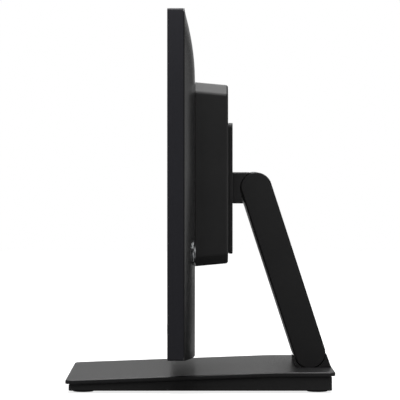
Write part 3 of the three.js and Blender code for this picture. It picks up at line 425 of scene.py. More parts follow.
SINK_HALF = 12.7 * MM
base_pivot = Vector(next(joint["pos_m"] for joint in frame["record"]["behaviour"]["joints"]
                         if joint["name"] == "base_hinge"))
house_low, house_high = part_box("base_hinge_housing")
opening = box_shape((house_low.x - 0.3 * MM, base_pivot.y - SINK_HALF - 0.3 * MM, 0),
                    (house_high.x + 0.3 * MM, base_pivot.y + SINK_HALF + 0.3 * MM, 0.05))
make_piece("base_plate_sheet",
           carved(wedge(plate_low, plate_high, PLATE_CORNER, plate_rings), [opening]),
           powder_coat, "base", "painted_steel", "base_plate")

# Base tray: black moulded plastic that closes the base from below and carries the feet. It
# clips up under the plate, set in from its edge.
tray_low, tray_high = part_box("base_tray")
moulded = grained("moulded_black", (0.0165, 0.0165, 0.0170), 0.5)
tray_black = grained("tray_black", (0.0270, 0.0270, 0.0275), 0.5)
tray_rings = [(inset, lambda y, d=drop: tray_low.z + d) for inset, drop in rolled(0.9 * MM, 4)]
tray_rings += [
    (0, lambda y: plate_top(y) - PLATE_THICK - 1.7 * MM),
    (0.5 * MM, lambda y: plate_top(y) - PLATE_THICK - 1.5 * MM),
    (0.5 * MM, lambda y: plate_top(y) - PLATE_THICK - 0.3 * MM),
]
make_piece("base_tray_shell", wedge(tray_low, tray_high, 4 * MM, tray_rings),
           tray_black, "base", "moulded_plastic", "base_tray")

# Feet: four soft rubber discs pressed into round recesses under the tray.
rubber = grained("foot_rubber", (0.011, 0.011, 0.011), 0.8, grain=2500.0, gloss=0.3)


def turned(outline, centre, axis, around=48):
    """A round piece from (along, radius) points; axis is the direction of along."""
    turn = Vector((0, 0, 1)).rotation_difference(Vector(axis)).to_matrix()
    shape = bmesh.new()
    rows = []
    for along, radius in outline:
        if radius < 1e-7:
            rows.append([shape.verts.new(Vector(centre) + turn @ Vector((0, 0, along)))])
            continue
        row = []
        for i in range(around):
            a = 2 * math.pi * i / around
            point = Vector((radius * math.cos(a), radius * math.sin(a), along))
            row.append(shape.verts.new(Vector(centre) + turn @ point))
        rows.append(row)
    for one, two in zip(rows, rows[1:]):
        for i in range(around):
            j = (i + 1) % around
            if len(one) == 1 and len(two) > 1:
                shape.faces.new((one[0], two[j], two[i]))
            elif len(two) == 1 and len(one) > 1:
                shape.faces.new((one[i], one[j], two[0]))
            elif len(one) > 1:
                shape.faces.new((one[i], one[j], two[j], two[i]))
    bmesh.ops.recalc_face_normals(shape, faces=shape.faces)
    return shape


for corner in ("front_left", "front_right", "rear_left", "rear_right"):
    low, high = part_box("foot_" + corner)
    middle = (low + high) / 2
    radius = (high.x - low.x) / 2
    tall = high.z - low.z
    outline = [(0, 0), (0, radius * 0.62), (0.25 * MM, radius * 0.66), (0.25 * MM, radius * 0.72),
               (0, radius * 0.76)]
    outline += [(drop, radius - inset) for inset, drop in rolled(0.8 * MM)]
    outline += [(tall, radius), (tall, 0)]
    make_piece("rubber_foot_" + corner, turned(outline, (middle.x, middle.y, low.z), (0, 0, 1)),
               rubber, "base", "foot_rubber", "foot_" + corner)

# Arm: two moulded shells meet along the middle of the arm's round ends, and a flat cap closes
# each side. Slots in the round ends let the steel hinge lugs through.
ARM_RADIUS = 17 * MM
ARM_LENGTH = 187.4 * MM
ARM_LEAN = math.radians(18)
SHELL_WALL = 2.2 * MM
CAP_THICK = 2.6 * MM
CAP_STEP = 1.1 * MM
LUG_X = 32 * MM
SLOT_HALF = 3.6 * MM
SLOT_REACH = 11.5 * MM

satin = grained("satin_black", (0.0175, 0.0175, 0.0180), 0.23, grain=1700.0)
head_pivot = Vector(next(joint["pos_m"] for joint in frame["record"]["behaviour"]["joints"]
                         if joint["name"] == "head_hinge"))
cap_low, cap_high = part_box("arm_cap_right")
arm_half = cap_high.x
along_arm = Matrix.Translation(base_pivot) @ Matrix.Rotation(ARM_LEAN, 4, "X")


def stadium(radius, arc=24):
    """The outline of two half circles joined by straight sides, as (across, up) points."""
    points = []
    for i in range(arc + 1):
        a = math.radians(180 * i / arc)
        points.append((radius * math.cos(a), ARM_LENGTH + radius * math.sin(a)))
    for i in range(arc + 1):
        a = math.radians(180 * i / arc - 180)
        points.append((radius * math.cos(a), radius * math.sin(a)))
    return points


def half_ring(side, arc=20):
    """The section of one arm shell: its outside, then back along its inside."""
    gap = 0.15 * MM
    inner = ARM_RADIUS - SHELL_WALL
    section = []
    for radius, centre, start, end in ((ARM_RADIUS, ARM_LENGTH, 90, 0), (ARM_RADIUS, 0, 0, -90),
                                       (inner, 0, -90, 0), (inner, ARM_LENGTH, 0, 90)):
        for i in range(arc + 1):
            a = math.radians(start + (end - start) * i / arc)
            section.append((side * max(radius * math.cos(a), gap), centre + radius * math.sin(a)))
        if end == 0 and start > 0:
            section += [(side * radius, ARM_LENGTH - SLOT_REACH), (side * radius, SLOT_REACH)]
        if end == 0 and start < 0:
            section += [(side * radius, SLOT_REACH), (side * radius, ARM_LENGTH - SLOT_REACH)]
    return section


shell_half = cap_low.x - 0.3 * MM
for name, side in (("front", -1), ("rear", 1)):
    section = half_ring(side)
    rings = [[along_arm @ Vector((x, across, up)) for across, up in section]
             for x in (-shell_half, -LUG_X - 5 * MM, 5 * MM - LUG_X, LUG_X - 5 * MM, LUG_X + 5 * MM,
                       shell_half)]
    shell = loft(rings)
    slots = []
    for pivot in (base_pivot, head_pivot):
        for x in (-LUG_X, LUG_X):
            slots.append(turned([(-SLOT_HALF, 0), (-SLOT_HALF, ARM_RADIUS + 3 * MM),
                                 (SLOT_HALF, ARM_RADIUS + 3 * MM), (SLOT_HALF, 0)],
                                (x, pivot.y, pivot.z), (1, 0, 0)))
    make_piece("arm_shell_" + name, carved(shell, slots), satin, "arm", "moulded_plastic",
               "arm_" + name + "_cover", crease=40)



def cap_outline(inset):
    """The cap's outline, which leaves a narrow step along the front of the arm."""
    return [(max(across, CAP_STEP + inset - ARM_RADIUS), up)
            for across, up in stadium(ARM_RADIUS - inset)]


for name, side in (("left", -1), ("right", 1)):
    rings = []
    for inset, drop in rolled(0.9 * MM):
        rings.append([along_arm @ Vector((side * (arm_half - drop), across, up))
                      for across, up in cap_outline(inset)])
    inner = side * (arm_half - CAP_THICK)
    rings.append([along_arm @ Vector((inner, across, up)) for across, up in cap_outline(0)])
    rings.append([along_arm @ Vector((inner, across, up))
                  for across, up in stadium(ARM_RADIUS - SHELL_WALL - 0.3 * MM)])
    rings.append([along_arm @ Vector((inner - side * 1.4 * MM, across, up))
                  for across, up in stadium(ARM_RADIUS - SHELL_WALL - 0.3 * MM)])
    make_piece("arm_side_cap_" + name, loft(rings), moulded, "arm", "moulded_plastic",
               "arm_cap_" + name)

# Base hinge housing: a moulded saddle that fills the back of the base plate and half
# surrounds the arm's lower end, with slots for the two lugs.
SADDLE_RADIUS = 17.7 * MM


def bar(section, x0, x1, roll):
    """An outline of (y, z) points drawn out along X, with rounded ends."""
    count = len(section)
    area = sum(section[i - 1][0] * section[i][1] - section[i][0] * section[i - 1][1]
               for i in range(count))
    turn = 1 if area > 0 else -1
    rings = []

    def ring(x, inset):
        points = []
        for i in range(count):
            before, here, after = (Vector(section[k % count]) for k in (i - 1, i, i + 1))
            one, two = (here - before).normalized(), (after - here).normalized()
            inward = Vector((-one.y - two.y, one.x + two.x)) * turn / max(0.2, 1 + one.dot(two))
            points.append((x, here.x + inward.x * inset, here.y + inward.y * inset))
        return points

    for inset, drop in rolled(roll):
        rings.append(ring(x0 + drop, inset))
    for inset, drop in reversed(rolled(roll)):
        rings.append(ring(x1 - drop, inset))
    return loft(rings)


def arm_space(lean, pivot, upper):
    """The space that the arm sweeps at one lean, around one of its round ends."""
    turn = Matrix.Translation(pivot) @ Matrix.Rotation(lean, 4, "X")
    down = ARM_LENGTH if upper else 0
    return loft([[turn @ Vector((x, across, up - down)) for across, up in
                  stadium(SADDLE_RADIUS)] for x in (-0.1, 0.1)])


def softened(values, radius, steps=4):
    """An outline of (u, v) points with its corners rounded off."""
    result = []
    count = len(values)
    for i in range(count):
        before, here, after = (Vector(values[k % count]) for k in (i - 1, i, i + 1))
        back = min(radius, (before - here).length * 0.45, (after - here).length * 0.45)
        start = here + (before - here).normalized() * back
        end = here + (after - here).normalized() * back
        for k in range(steps + 1):
            t = k / steps
            point = start * (1 - t) ** 2 + here * 2 * t * (1 - t) + end * t * t
            result.append((point.x, point.y))
    return result


saddle_front = base_pivot.y - 15.2 * MM
lip_top = 31.4 * MM
plate_rear_top = plate_high.z
house_section = softened([
    (saddle_front, plate_rear_top + 0.3 * MM),
    (base_pivot.y - SINK_HALF, plate_rear_top + 0.3 * MM),
    (base_pivot.y - SINK_HALF, plate_rear_top - PLATE_THICK),
    (base_pivot.y + SINK_HALF, plate_rear_top - PLATE_THICK),
    (base_pivot.y + SINK_HALF, plate_rear_top + 0.3 * MM),
    (142.2 * MM, plate_rear_top + 0.3 * MM),
    (141.0 * MM, 26 * MM),
    (138.9 * MM, 32 * MM),
    (137.4 * MM, 36 * MM),
    (136.4 * MM, 37.5 * MM),
    (base_pivot.y, 37.5 * MM),
    (base_pivot.y, lip_top),
    (saddle_front, lip_top),
], 0.8 * MM)
lug_slots = [box_shape((x - 3.3 * MM, base_pivot.y - 9.3 * MM, 0),
                       (x + 3.3 * MM, base_pivot.y + 9.3 * MM, 0.08)) for x in (-LUG_X, LUG_X)]
housing = carved(bar(house_section, house_low.x, house_high.x, 0.3 * MM),
                 [arm_space(math.radians(lean), base_pivot, False) for lean in (-0.4, 18, 24.2)]
                 + lug_slots)
make_piece("base_hinge_saddle", housing, moulded, "base", "moulded_plastic", "base_hinge_housing",
           crease=32)

# Mount plate: a square steel plate in two layers with a groove between them, held to the box
# by four flush screws on the standard 100 mm square.
MOUNT_CORNER = 5 * MM
mount_low, mount_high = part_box("mount_plate")
black_screw = grained("black_zinc", (0.035, 0.035, 0.037), 0.35, grain=900.0, gloss=0.6)
black_screw.node_tree.nodes["Principled BSDF"].inputs["Metallic"].default_value = 0.8


def rounded_outline(u0, u1, v0, v1, radius, arc=8):
    """Points round a rectangle with rounded corners."""
    points = []
    for u, v, start in ((u1 - radius, v0 + radius, -90), (u1 - radius, v1 - radius, 0),
                        (u0 + radius, v1 - radius, 90), (u0 + radius, v0 + radius, 180)):
        for i in range(arc + 1):
            a = math.radians(start + 90 * i / arc)
            points.append((u + radius * math.cos(a), v + radius * math.sin(a)))
    return points


def upright(u0, u1, v0, v1, corner, rings, arc=8):
    """A slab that stands up, from rings of (inset, y)."""
    made = []
    for inset, y in rings:
        outline = rounded_outline(u0 + inset, u1 - inset, v0 + inset, v1 - inset,
                                  max(corner - inset, 0.15 * MM), arc)
        made.append([(u, y, v) for u, v in outline])
    return made


mount_rings = [(0.3 * MM, mount_low.y), (0, mount_low.y + 0.3 * MM), (0, mount_low.y + 1.1 * MM),
               (0.9 * MM, mount_low.y + 1.3 * MM), (0.9 * MM, mount_low.y + 1.9 * MM),
               (0, mount_low.y + 2.1 * MM)]
mount_rings += [(inset, mount_high.y - drop) for inset, drop in reversed(rolled(0.8 * MM))]
screws = []
for i in range(1, 5):
    low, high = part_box("mount_screw_%d" % i)
    screws.append(((low.x + high.x) / 2, (low.z + high.z) / 2, (high.x - low.x) / 2, high.y))
mount_holes = [turned([(0, 0), (0, r + 0.3 * MM), (0.01, r + 0.3 * MM), (0.01, 0)],
                      (x, y - 2.6 * MM, z), (0, 1, 0)) for x, z, r, y in screws]
mount = carved(loft(upright(mount_low.x, mount_high.x, mount_low.z, mount_high.z, MOUNT_CORNER,
                            mount_rings)), mount_holes)
mount_paint = grained("mount_paint", (0.027, 0.027, 0.028), 0.40, grain=1100.0, relief=0.4)
make_piece("mount_plate_steel", mount, mount_paint, "screen", "painted_steel", "mount_plate")
for i, (x, z, r, y) in enumerate(screws, 1):
    head = [(-2.2 * MM, 0), (-2.2 * MM, r), (-0.5 * MM, r)]
    head += [(-drop, r - inset) for inset, drop in reversed(rolled(0.5 * MM, 3))]
    head += [(0, 0)]
    cross = [box_shape((x - w * MM, y - 1.3 * MM, z - h * MM), (x + w * MM, y + 1 * MM, z + h * MM))
             for w, h in ((0.45, 2.3), (2.3, 0.45))]
    make_piece("mount_screw_head_%d" % i, carved(turned(head, (x, y, z), (0, 1, 0)), cross),
               black_screw, "screen", "dark_screw", "mount_screw_%d" % i)

# Head bracket: a moulded block on the mount plate with a saddle for the arm's upper end.
head_low, head_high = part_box("head_bracket")
head_section = softened([
    (head_low.y - 0.2 * MM, head_low.z), (head_high.y + 12 * MM, head_low.z),
    (head_high.y + 12 * MM, head_high.z), (head_low.y - 0.2 * MM, head_high.z)], 1.2 * MM)
head_cutters = [arm_space(math.radians(lean), head_pivot, True) for lean in (18, 13.8)]
head_cutters += [box_shape((x - 3.3 * MM, 37 * MM, head_pivot.z - 9.3 * MM),
                           (x + 3.3 * MM, 0.1, head_pivot.z + 9.3 * MM)) for x in (-LUG_X, LUG_X)]
head_cutters.append(box_shape((-0.1, head_pivot.y - 4 * MM, 0.1), (0.1, 0.1, 0.3)))
head = carved(bar(head_section, head_low.x, head_high.x, 0.9 * MM), head_cutters)
make_piece("head_bracket_block", head, moulded, "screen", "moulded_plastic", "head_bracket",
           crease=32)

# Rear cover: one large moulding, flat in the middle and swept forward to a thin edge, with a
# big opening under the computer box.
CROWN = 10.7 * MM
CROWN_RUN = 72 * MM
EDGE_THICK = 0.6 * MM
SCREEN_CORNER = 2.2 * MM
BOTTOM_ROLL = 0.6 * MM
cover_low, cover_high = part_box("rear_cover")
rim_y = cover_high.y - CROWN


def rise(distance):
    left = 1 - min(1, max(0, distance / CROWN_RUN))
    return 1 - left * left


def back_surface(x, z):
    """How far back the cover lies at a place."""
    swell = rise(cover_high.x - abs(x)) * rise(cover_high.z - z)
    low = min(1, (z - cover_low.z) / BOTTOM_ROLL)
    swell_low = math.sqrt(max(0, 1 - (1 - low) ** 2))
    fall = (1 - swell_low) * BOTTOM_ROLL
    return rim_y + max(0, CROWN * swell - fall)


def stations(low, high, run_low, run_high, extra):
    """Places along one direction, closer together near the edges."""
    near = [0, 0.3, 0.8, 1.6, 2.6, 4, 6, 8.5, 12, 16, 21, 27, 34, 42, 51, 61, 72, 80]
    places = {round(low + d * MM, 6) for d in near if d * MM <= run_low}
    places |= {round(high - d * MM, 6) for d in near if d * MM <= run_high}
    places |= {round(value, 6) for value in extra}
    gap_low, gap_high = low + run_low, high - run_high
    steps = 8
    places |= {round(gap_low + (gap_high - gap_low) * i / steps, 6) for i in range(steps + 1)}
    return sorted(places)


hole = (142.5 * MM, 142 * MM, 322 * MM)
cover_xs = stations(cover_low.x, cover_high.x, 80 * MM, 80 * MM, (-hole[0], hole[0]))
cover_zs = stations(cover_low.z, cover_high.z, 12 * MM, 80 * MM, hole[1:])
cover = bmesh.new()
grid = []
for z in cover_zs:
    row = []
    for x in cover_xs:
        px, pz = x, z
        cx = max(cover_low.x + SCREEN_CORNER, min(cover_high.x - SCREEN_CORNER, x))
        cz = max(cover_low.z + SCREEN_CORNER, min(cover_high.z - SCREEN_CORNER, z))
        if cx != x and cz != z:
            reach = max(abs(x - cx), abs(z - cz))
            far = math.hypot(x - cx, z - cz)
            px, pz = cx + (x - cx) * reach / far, cz + (z - cz) * reach / far
        row.append(cover.verts.new((px, back_surface(px, pz), pz)))
    grid.append(row)
for i in range(len(cover_zs) - 1):
    for j in range(len(cover_xs) - 1):
        x = (cover_xs[j] + cover_xs[j + 1]) / 2
        z = (cover_zs[i] + cover_zs[i + 1]) / 2
        if abs(x) < hole[0] and hole[1] < z < hole[2]:
            continue
        cover.faces.new((grid[i][j], grid[i][j + 1], grid[i + 1][j + 1], grid[i + 1][j]))
outside = (grid[0] + [row[-1] for row in grid[1:]] + grid[-1][-2::-1] +
           [row[0] for row in grid[-2:0:-1]])


def follow(ring, inset, y):
    """A copy of a ring, moved in towards the middle and set at one depth."""
    made = []
    mid = (cover_low + cover_high) / 2
    for vertex in ring:
        flat = Vector((vertex.co.x - mid.x, vertex.co.z - mid.z))
        half = Vector(((cover_high.x - cover_low.x) / 2, (cover_high.z - cover_low.z) / 2))
        scale = Vector((1 - inset / half.x, 1 - inset / half.y))
        made.append(cover.verts.new((mid.x + flat.x * scale.x, y, mid.z + flat.y * scale.y)))
    return made


last = outside
for inset, y in ((0.0, rim_y - EDGE_THICK), (2.7 * MM, rim_y - EDGE_THICK), (2.7 * MM, cover_low.y),
                 (4.8 * MM, cover_low.y), (5.4 * MM, rim_y - 1 * MM)):
    ring = follow(outside, inset, y)
    for i in range(len(ring)):
        j = (i + 1) % len(ring)
        cover.faces.new((last[i], last[j], ring[j], ring[i]))
    last = ring
bmesh.ops.recalc_face_normals(cover, faces=cover.faces)
make_piece("rear_cover_shell", cover, satin, "screen", "moulded_plastic", "rear_cover")

# Lock ring: a polished steel ring pressed into the rear cover around a slot for a cable lock.
ring_low, ring_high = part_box("lock_ring")
LOCK_TILT = math.radians(6.2)
lock_at = (ring_low + ring_high) / 2
lock_axis = Vector((math.sin(LOCK_TILT), math.cos(LOCK_TILT), 0))
lock_foot = Vector((lock_at.x, back_surface(lock_at.x, lock_at.z), lock_at.z))
polished, nodes, links, shader, where = new_finish("polished_steel")
shader.inputs["Metallic"].default_value = 1.0
links.new(two_tones(nodes, links, speckle(nodes, links, where, 90.0), (0.40, 0.41, 0.42),
                    (0.52, 0.53, 0.54)), shader.inputs["Base Color"])
links.new(spread(nodes, links, speckle(nodes, links, where, 700.0), 0.10, 0.22),
          shader.inputs["Roughness"])
ring_outline = [(0.1, 6.2), (0.1, 11.9), (0.5, 11.9), (0.9, 11.5), (1.15, 10.8), (1.25, 10.0),
                (1.15, 9.0), (0.9, 8.0), (0.5, 7.0), (0.1, 6.2)]
ring = turned([(a * MM, r * MM) for a, r in ring_outline], lock_foot, lock_axis, 64)
make_piece("lock_ring_steel", ring, polished, "screen", "bright_steel", "lock_ring")
well = turned([(0.05 * MM, 0), (0.05 * MM, 6.4 * MM), (0.32 * MM, 6.4 * MM), (0.32 * MM, 0)],
              lock_foot, lock_axis, 48)
slot_cut = box_shape((-1.5 * MM, -3 * MM, -3.5 * MM), (1.5 * MM, 3 * MM, 3.5 * MM))
bmesh.ops.transform(slot_cut, verts=slot_cut.verts, matrix=Matrix.Translation(lock_foot))
make_piece("lock_ring_floor", carved(well, [slot_cut]), black_screw, "screen", "dark_screw")

# Computer box: a deep moulded cover that leans in towards the back, with air slots in its top
# and rear and openings for the sockets underneath.
BOX_CORNER = 10.5 * MM
BOX_DRAFT = 0.09
BOX_FRONT = -16 * MM
BOX_WALL = 2.5 * MM
BOX_HALF = 150 * MM
BOX_BOTTOM, BOX_TOP = 134.3 * MM, 330.2 * MM
shell_low, shell_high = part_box("box_cover")


def box_ring(y, inset):
    """The box's outline at one depth: a rectangle with flat-cut, slightly softened corners."""
    pull = BOX_DRAFT * (y - BOX_FRONT) + inset
    cut = BOX_CORNER - inset * 0.586
    u, low, high = BOX_HALF - pull, BOX_BOTTOM + pull, BOX_TOP - pull
    corners = [(u - cut, low), (u, low + cut), (u, high - cut), (u - cut, high),
               (-u + cut, high), (-u, high - cut), (-u, low + cut), (-u + cut, low)]
    return [(x, y, z) for x, z in softened(corners, 2.2 * MM)]


box_rings = [box_ring(shell_low.y, BOX_WALL), box_ring(shell_low.y, 0.2 * MM),
             box_ring(shell_low.y + 0.2 * MM, 0)]
for y in (2, 10, 18):
    box_rings.append(box_ring(y * MM, 0))
box_rings += [box_ring(shell_high.y - drop, inset) for inset, drop in reversed(rolled(2.4 * MM, 6))]
box_shell = loft(box_rings, cap_first=False)
hollow = loft([box_ring(shell_low.y - 1 * MM, BOX_WALL),
               box_ring(shell_high.y - BOX_WALL, BOX_WALL)])
box_shell.verts.ensure_lookup_table()
first_ring = [box_shell.verts[i] for i in range(len(box_rings[0]))]
box_shell.faces.new(first_ring[::-1])
bmesh.ops.recalc_face_normals(box_shell, faces=box_shell.faces)
box_cutters = [hollow]
for i in range(16):
    x = (i - 7.5) * 12 * MM
    box_cutters.append(box_shape((x - 1.8 * MM, 2 * MM, BOX_TOP - 10 * MM),
                                 (x + 1.8 * MM, 21 * MM, BOX_TOP + 5 * MM)))
fan_low, fan_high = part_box("fan_housing")
fan_centre = (fan_low + fan_high) / 2
for i in range(7):
    x = fan_centre.x + (i - 3) * 7 * MM
    box_cutters.append(box_shape((x - 1.5 * MM, shell_high.y - 6 * MM, fan_centre.z - 22 * MM),
                                 (x + 1.5 * MM, shell_high.y + 2 * MM, fan_centre.z + 22 * MM)))
for name in ("power_inlet", "display_socket", "lan_socket", "usb_socket_1", "usb_socket_2"):
    low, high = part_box(name)
    box_cutters.append(box_shape((low.x - 0.3 * MM, low.y - 0.3 * MM, BOX_BOTTOM - 5 * MM),
                                 (high.x + 0.3 * MM, high.y + 0.3 * MM, BOX_BOTTOM + 8 * MM)))
box_black = grained("box_black", (0.0220, 0.0220, 0.0225), 0.42, grain=1700.0)
make_piece("computer_box_shell", carved(box_shell, box_cutters), box_black, "screen",
           "moulded_plastic", "box_cover")

# Bezel: the moulded frame around the display. Its side walls reach back to the rear cover, and
# the lower bar has slots in front of the loudspeakers.
face_low, face_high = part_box("front_bezel")
FACE_THICK = 2.3 * MM
WALL = 2.4 * MM
display_low, display_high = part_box("display_panel")
WINDOW_HALF = 222.4 * MM
WINDOW_RISE = 125.55 * MM
window_z = (display_low.z + display_high.z) / 2
bezel_black = grained("bezel_black", (0.0135, 0.0135, 0.0180), 0.46, grain=1900.0)
ring_of = lambda inset, y, corner: [(u, y, v) for u, v in rounded_outline(
    face_low.x + inset, face_high.x - inset, face_low.z + inset, face_high.z - inset, corner)]
window_of = lambda grow, y: [(u, y, v) for u, v in rounded_outline(
    -WINDOW_HALF - grow, WINDOW_HALF + grow, window_z - WINDOW_RISE - grow,
    window_z + WINDOW_RISE + grow, 0.6 * MM)]
inside = face_low.y + FACE_THICK
frame_rings = [ring_of(WALL, inside, 2 * MM), ring_of(WALL, face_high.y, 2 * MM),
               ring_of(0.2 * MM, face_high.y, SCREEN_CORNER - 0.2 * MM),
               ring_of(0, face_high.y - 0.2 * MM, SCREEN_CORNER)]
frame_rings += [ring_of(inset, face_low.y + drop, SCREEN_CORNER - inset)
                for inset, drop in reversed(rolled(1.2 * MM))]
frame_rings += [window_of(0.7 * MM, face_low.y), window_of(0.3 * MM, face_low.y + 0.15 * MM),
                window_of(0, face_low.y + 0.5 * MM), window_of(0, inside)]
bezel = loft(frame_rings, cap_first=False, cap_last=False)
bezel.verts.ensure_lookup_table()
count = len(frame_rings[0])
total = len(bezel.verts)
for i in range(count):
    j = (i + 1) % count
    bezel.faces.new((bezel.verts[total - count + i], bezel.verts[total - count + j],
                     bezel.verts[j], bezel.verts[i]))
bmesh.ops.recalc_face_normals(bezel, faces=bezel.faces)
button_low, button_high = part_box("power_button")
button_at = (button_low + button_high) / 2
lens_at = Vector((0, 0, 387 * MM))
bezel_cutters = []
for side in (-1, 1):
    for i in range(9):
        x = (side * 130 + (i - 4) * 5) * MM
        bezel_cutters.append(box_shape((x - 1 * MM, face_low.y - 1 * MM, 68 * MM),
                                       (x + 1 * MM, 0, 84 * MM)))
for name in ("side_usb_1", "side_usb_2", "headset_socket"):
    low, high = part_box(name)
    bezel_cutters.append(box_shape((low.x - 2 * MM, low.y - 0.3 * MM, low.z - 0.3 * MM),
                                   (low.x + 4 * MM, high.y + 0.3 * MM, high.z + 0.3 * MM)))
bezel_cutters.append(turned([(0, 0), (0, 6.4 * MM), (0.01, 6.4 * MM), (0.01, 0)],
                            (button_at.x, face_low.y - 1 * MM, button_at.z), (0, 1, 0)))
bezel_cutters.append(turned([(0, 0), (0, 3.5 * MM), (0.01, 3.5 * MM), (0.01, 0)],
                            (0, face_low.y - 1 * MM, lens_at.z), (0, 1, 0)))
bezel_cutters.append(box_shape((-3 * MM, face_low.y - 1 * MM, 393 * MM), (12.4 * MM, 0, 396 * MM)))
make_piece("bezel_frame", carved(bezel, bezel_cutters), bezel_black, "screen", "bezel_plastic",
           "front_bezel")

# Display: a glass stack with an anti-glare film. Switched off it is a deep, slightly blue black.
display_film, nodes, links, shader, where = new_finish("anti_glare_film")
links.new(two_tones(nodes, links, speckle(nodes, links, where, 9.0), (0.0045, 0.0047, 0.0060),
                    (0.0060, 0.0062, 0.0080)), shader.inputs["Base Color"])
haze = speckle(nodes, links, where, 5200.0)
links.new(spread(nodes, links, haze, 0.26, 0.34), shader.inputs["Roughness"])
links.new(bumped(nodes, links, haze, 0.1, 0.00002), shader.inputs["Normal"])
PICTURE_HALF = 221.3 * MM
PICTURE_RISE = 124.5 * MM
film_rings = upright(-PICTURE_HALF, PICTURE_HALF, window_z - PICTURE_RISE, window_z + PICTURE_RISE,
                     0.3 * MM,
                     [(0.1 * MM, display_low.y + 0.15 * MM), (0, display_low.y + 0.25 * MM),
                      (0, display_low.y + 0.59 * MM)], 3)
make_piece("display_film_sheet", loft(film_rings), display_film, "screen", "display_face")
dark_tray = grained("display_edge", (0.02, 0.02, 0.021), 0.4, grain=800.0)
dark_tray.node_tree.nodes["Principled BSDF"].inputs["Metallic"].default_value = 0.4
frame["nodes"]["display_panel"].data.materials.clear()
frame["nodes"]["display_panel"].data.materials.append(dark_tray)

# Camera: a small lens behind a round window in the top bar, with a sliding plastic shutter
# whose tab stands in a slot.
lens_glass, nodes, links, shader, where = new_finish("lens_glass")
links.new(two_tones(nodes, links, speckle(nodes, links, where, 400.0), (0.004, 0.005, 0.012),
                    (0.010, 0.012, 0.028)), shader.inputs["Base Color"])
links.new(spread(nodes, links, speckle(nodes, links, where, 900.0), 0.03, 0.08),
          shader.inputs["Roughness"])
shader.inputs["Coat Weight"].default_value = 1.0
camera_low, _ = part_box("webcam_module")
lens_outline = [(0, 3.0), (0.5, 3.0), (0.7, 2.8), (0.7, 2.2), (0.45, 2.05), (0.45, 1.7),
                (0.62, 1.2), (0.72, 0.6), (0.75, 0)]
lens = turned([(a * MM, r * MM) for a, r in lens_outline], (0, camera_low.y + 0.8 * MM, lens_at.z),
              (0, -1, 0))
make_piece("camera_lens_glass", lens, lens_glass, "screen", "camera_lens")
frame["nodes"]["webcam_module"].data.materials.clear()
frame["nodes"]["webcam_module"].data.materials.append(moulded)
tab_low, tab_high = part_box("webcam_shutter")
shutter_rings = upright(4.6 * MM, 13.6 * MM, tab_low.z, tab_high.z, 1 * MM,
                        [(0.15 * MM, tab_high.y - 0.9 * MM), (0, tab_high.y - 0.75 * MM),
                         (0, tab_high.y)], 4)
make_piece("camera_shutter_blade", loft(shutter_rings), bezel_black, "shutter", "bezel_plastic",
           "webcam_shutter")
tab_rings = upright(7.2 * MM, 11 * MM, 393.4 * MM, 395.6 * MM, 0.6 * MM,
                    [(0.3 * MM, tab_low.y), (0.1 * MM, tab_low.y + 0.1 * MM),
                     (0, tab_low.y + 0.3 * MM), (0, tab_high.y - 0.9 * MM)], 4)
make_piece("camera_shutter_tab", loft(tab_rings), bezel_black, "shutter", "bezel_plastic")

# Power button: a moulded disc with a dished face, kept behind the bezel by a collar.
BUTTON_RADIUS = 6 * MM
DISH = 0.18 * MM
outline = [(0.4 * MM - DISH + DISH * (r / 6) ** 2, r / 6 * 5 * MM) for r in range(7)]
outline += [(0.38 * MM, 5.3 * MM), (0.3 * MM, 5.7 * MM), (0.1 * MM, BUTTON_RADIUS)]
outline += [(-2.4 * MM, BUTTON_RADIUS), (-2.6 * MM, 7.4 * MM), (-3.4 * MM, 7.4 * MM),
            (-3.4 * MM, 0)]
button = turned(outline, (button_at.x, face_low.y, button_at.z), (0, -1, 0), 64)
make_piece("power_button_disc", button, bezel_black, "button", "bezel_plastic", "power_button")

# Inside parts and sockets: they keep the shapes of the solid model, and each gets the finish of its
# own stuff: plated steel, zinc sheet, aluminium, circuit board or matt plastic.


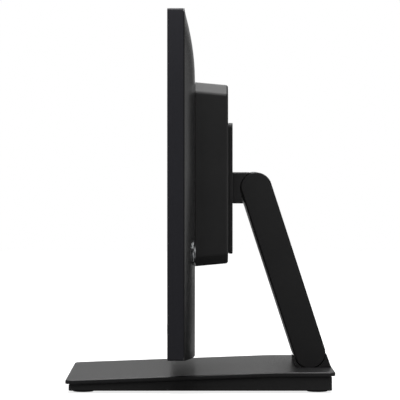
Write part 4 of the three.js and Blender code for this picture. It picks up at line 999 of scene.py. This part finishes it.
def metal(name, dark, light, rough, streak=(1.0, 1.0, 1.0)):
    """Plated or milled metal with fine streaks."""
    finish, nodes, links, shader, where = new_finish(name)
    stretch = nodes.new("ShaderNodeMapping")
    stretch.inputs["Scale"].default_value = streak
    links.new(where, stretch.inputs["Vector"])
    lines = speckle(nodes, links, stretch.outputs[0], 900.0, 3.0)
    links.new(two_tones(nodes, links, speckle(nodes, links, where, 45.0, 3.0), dark, light),
              shader.inputs["Base Color"])
    links.new(spread(nodes, links, lines, rough - 0.08, rough + 0.08), shader.inputs["Roughness"])
    links.new(bumped(nodes, links, lines, 0.25, 0.00003), shader.inputs["Normal"])
    shader.inputs["Metallic"].default_value = 1.0
    return finish


finishes = {
    "steel": metal("plated_steel", (0.34, 0.34, 0.35), (0.48, 0.48, 0.49), 0.34, (0.1, 1, 1)),
    "zinc_sheet": metal("zinc_sheet", (0.40, 0.41, 0.40), (0.52, 0.53, 0.52), 0.45, (1, 1, 0.15)),
    "aluminium_fins": metal("milled_aluminium", (0.52, 0.53, 0.54), (0.64, 0.65, 0.66), 0.4,
                            (1, 1, 0.1)),
    "socket_metal": metal("nickel_shell", (0.42, 0.42, 0.44), (0.55, 0.55, 0.57), 0.28,
                          (1, 1, 0.2)),
    "inner_plastic": grained("matt_inner_plastic", (0.020, 0.020, 0.020), 0.66, grain=1300.0),
}
board_green, nodes, links, shader, where = new_finish("board_green")
cells = nodes.new("ShaderNodeTexVoronoi")
cells.inputs["Scale"].default_value = 420.0
cells.distance = "MANHATTAN"
links.new(where, cells.inputs["Vector"])
links.new(two_tones(nodes, links, cells.outputs["Distance"], (0.004, 0.045, 0.018),
                    (0.010, 0.085, 0.036), 0.1, 0.5), shader.inputs["Base Color"])
links.new(spread(nodes, links, speckle(nodes, links, where, 600.0), 0.28, 0.45),
          shader.inputs["Roughness"])
finishes["circuit_board"] = board_green
slots = {part["node"]: part["material_slot"] for part in frame["record"]["subparts"]}
for name, node in frame["nodes"].items():
    if slots[name] in finishes and not node.hide_render:
        node.data.materials.clear()
        node.data.materials.append(finishes[slots[name]])
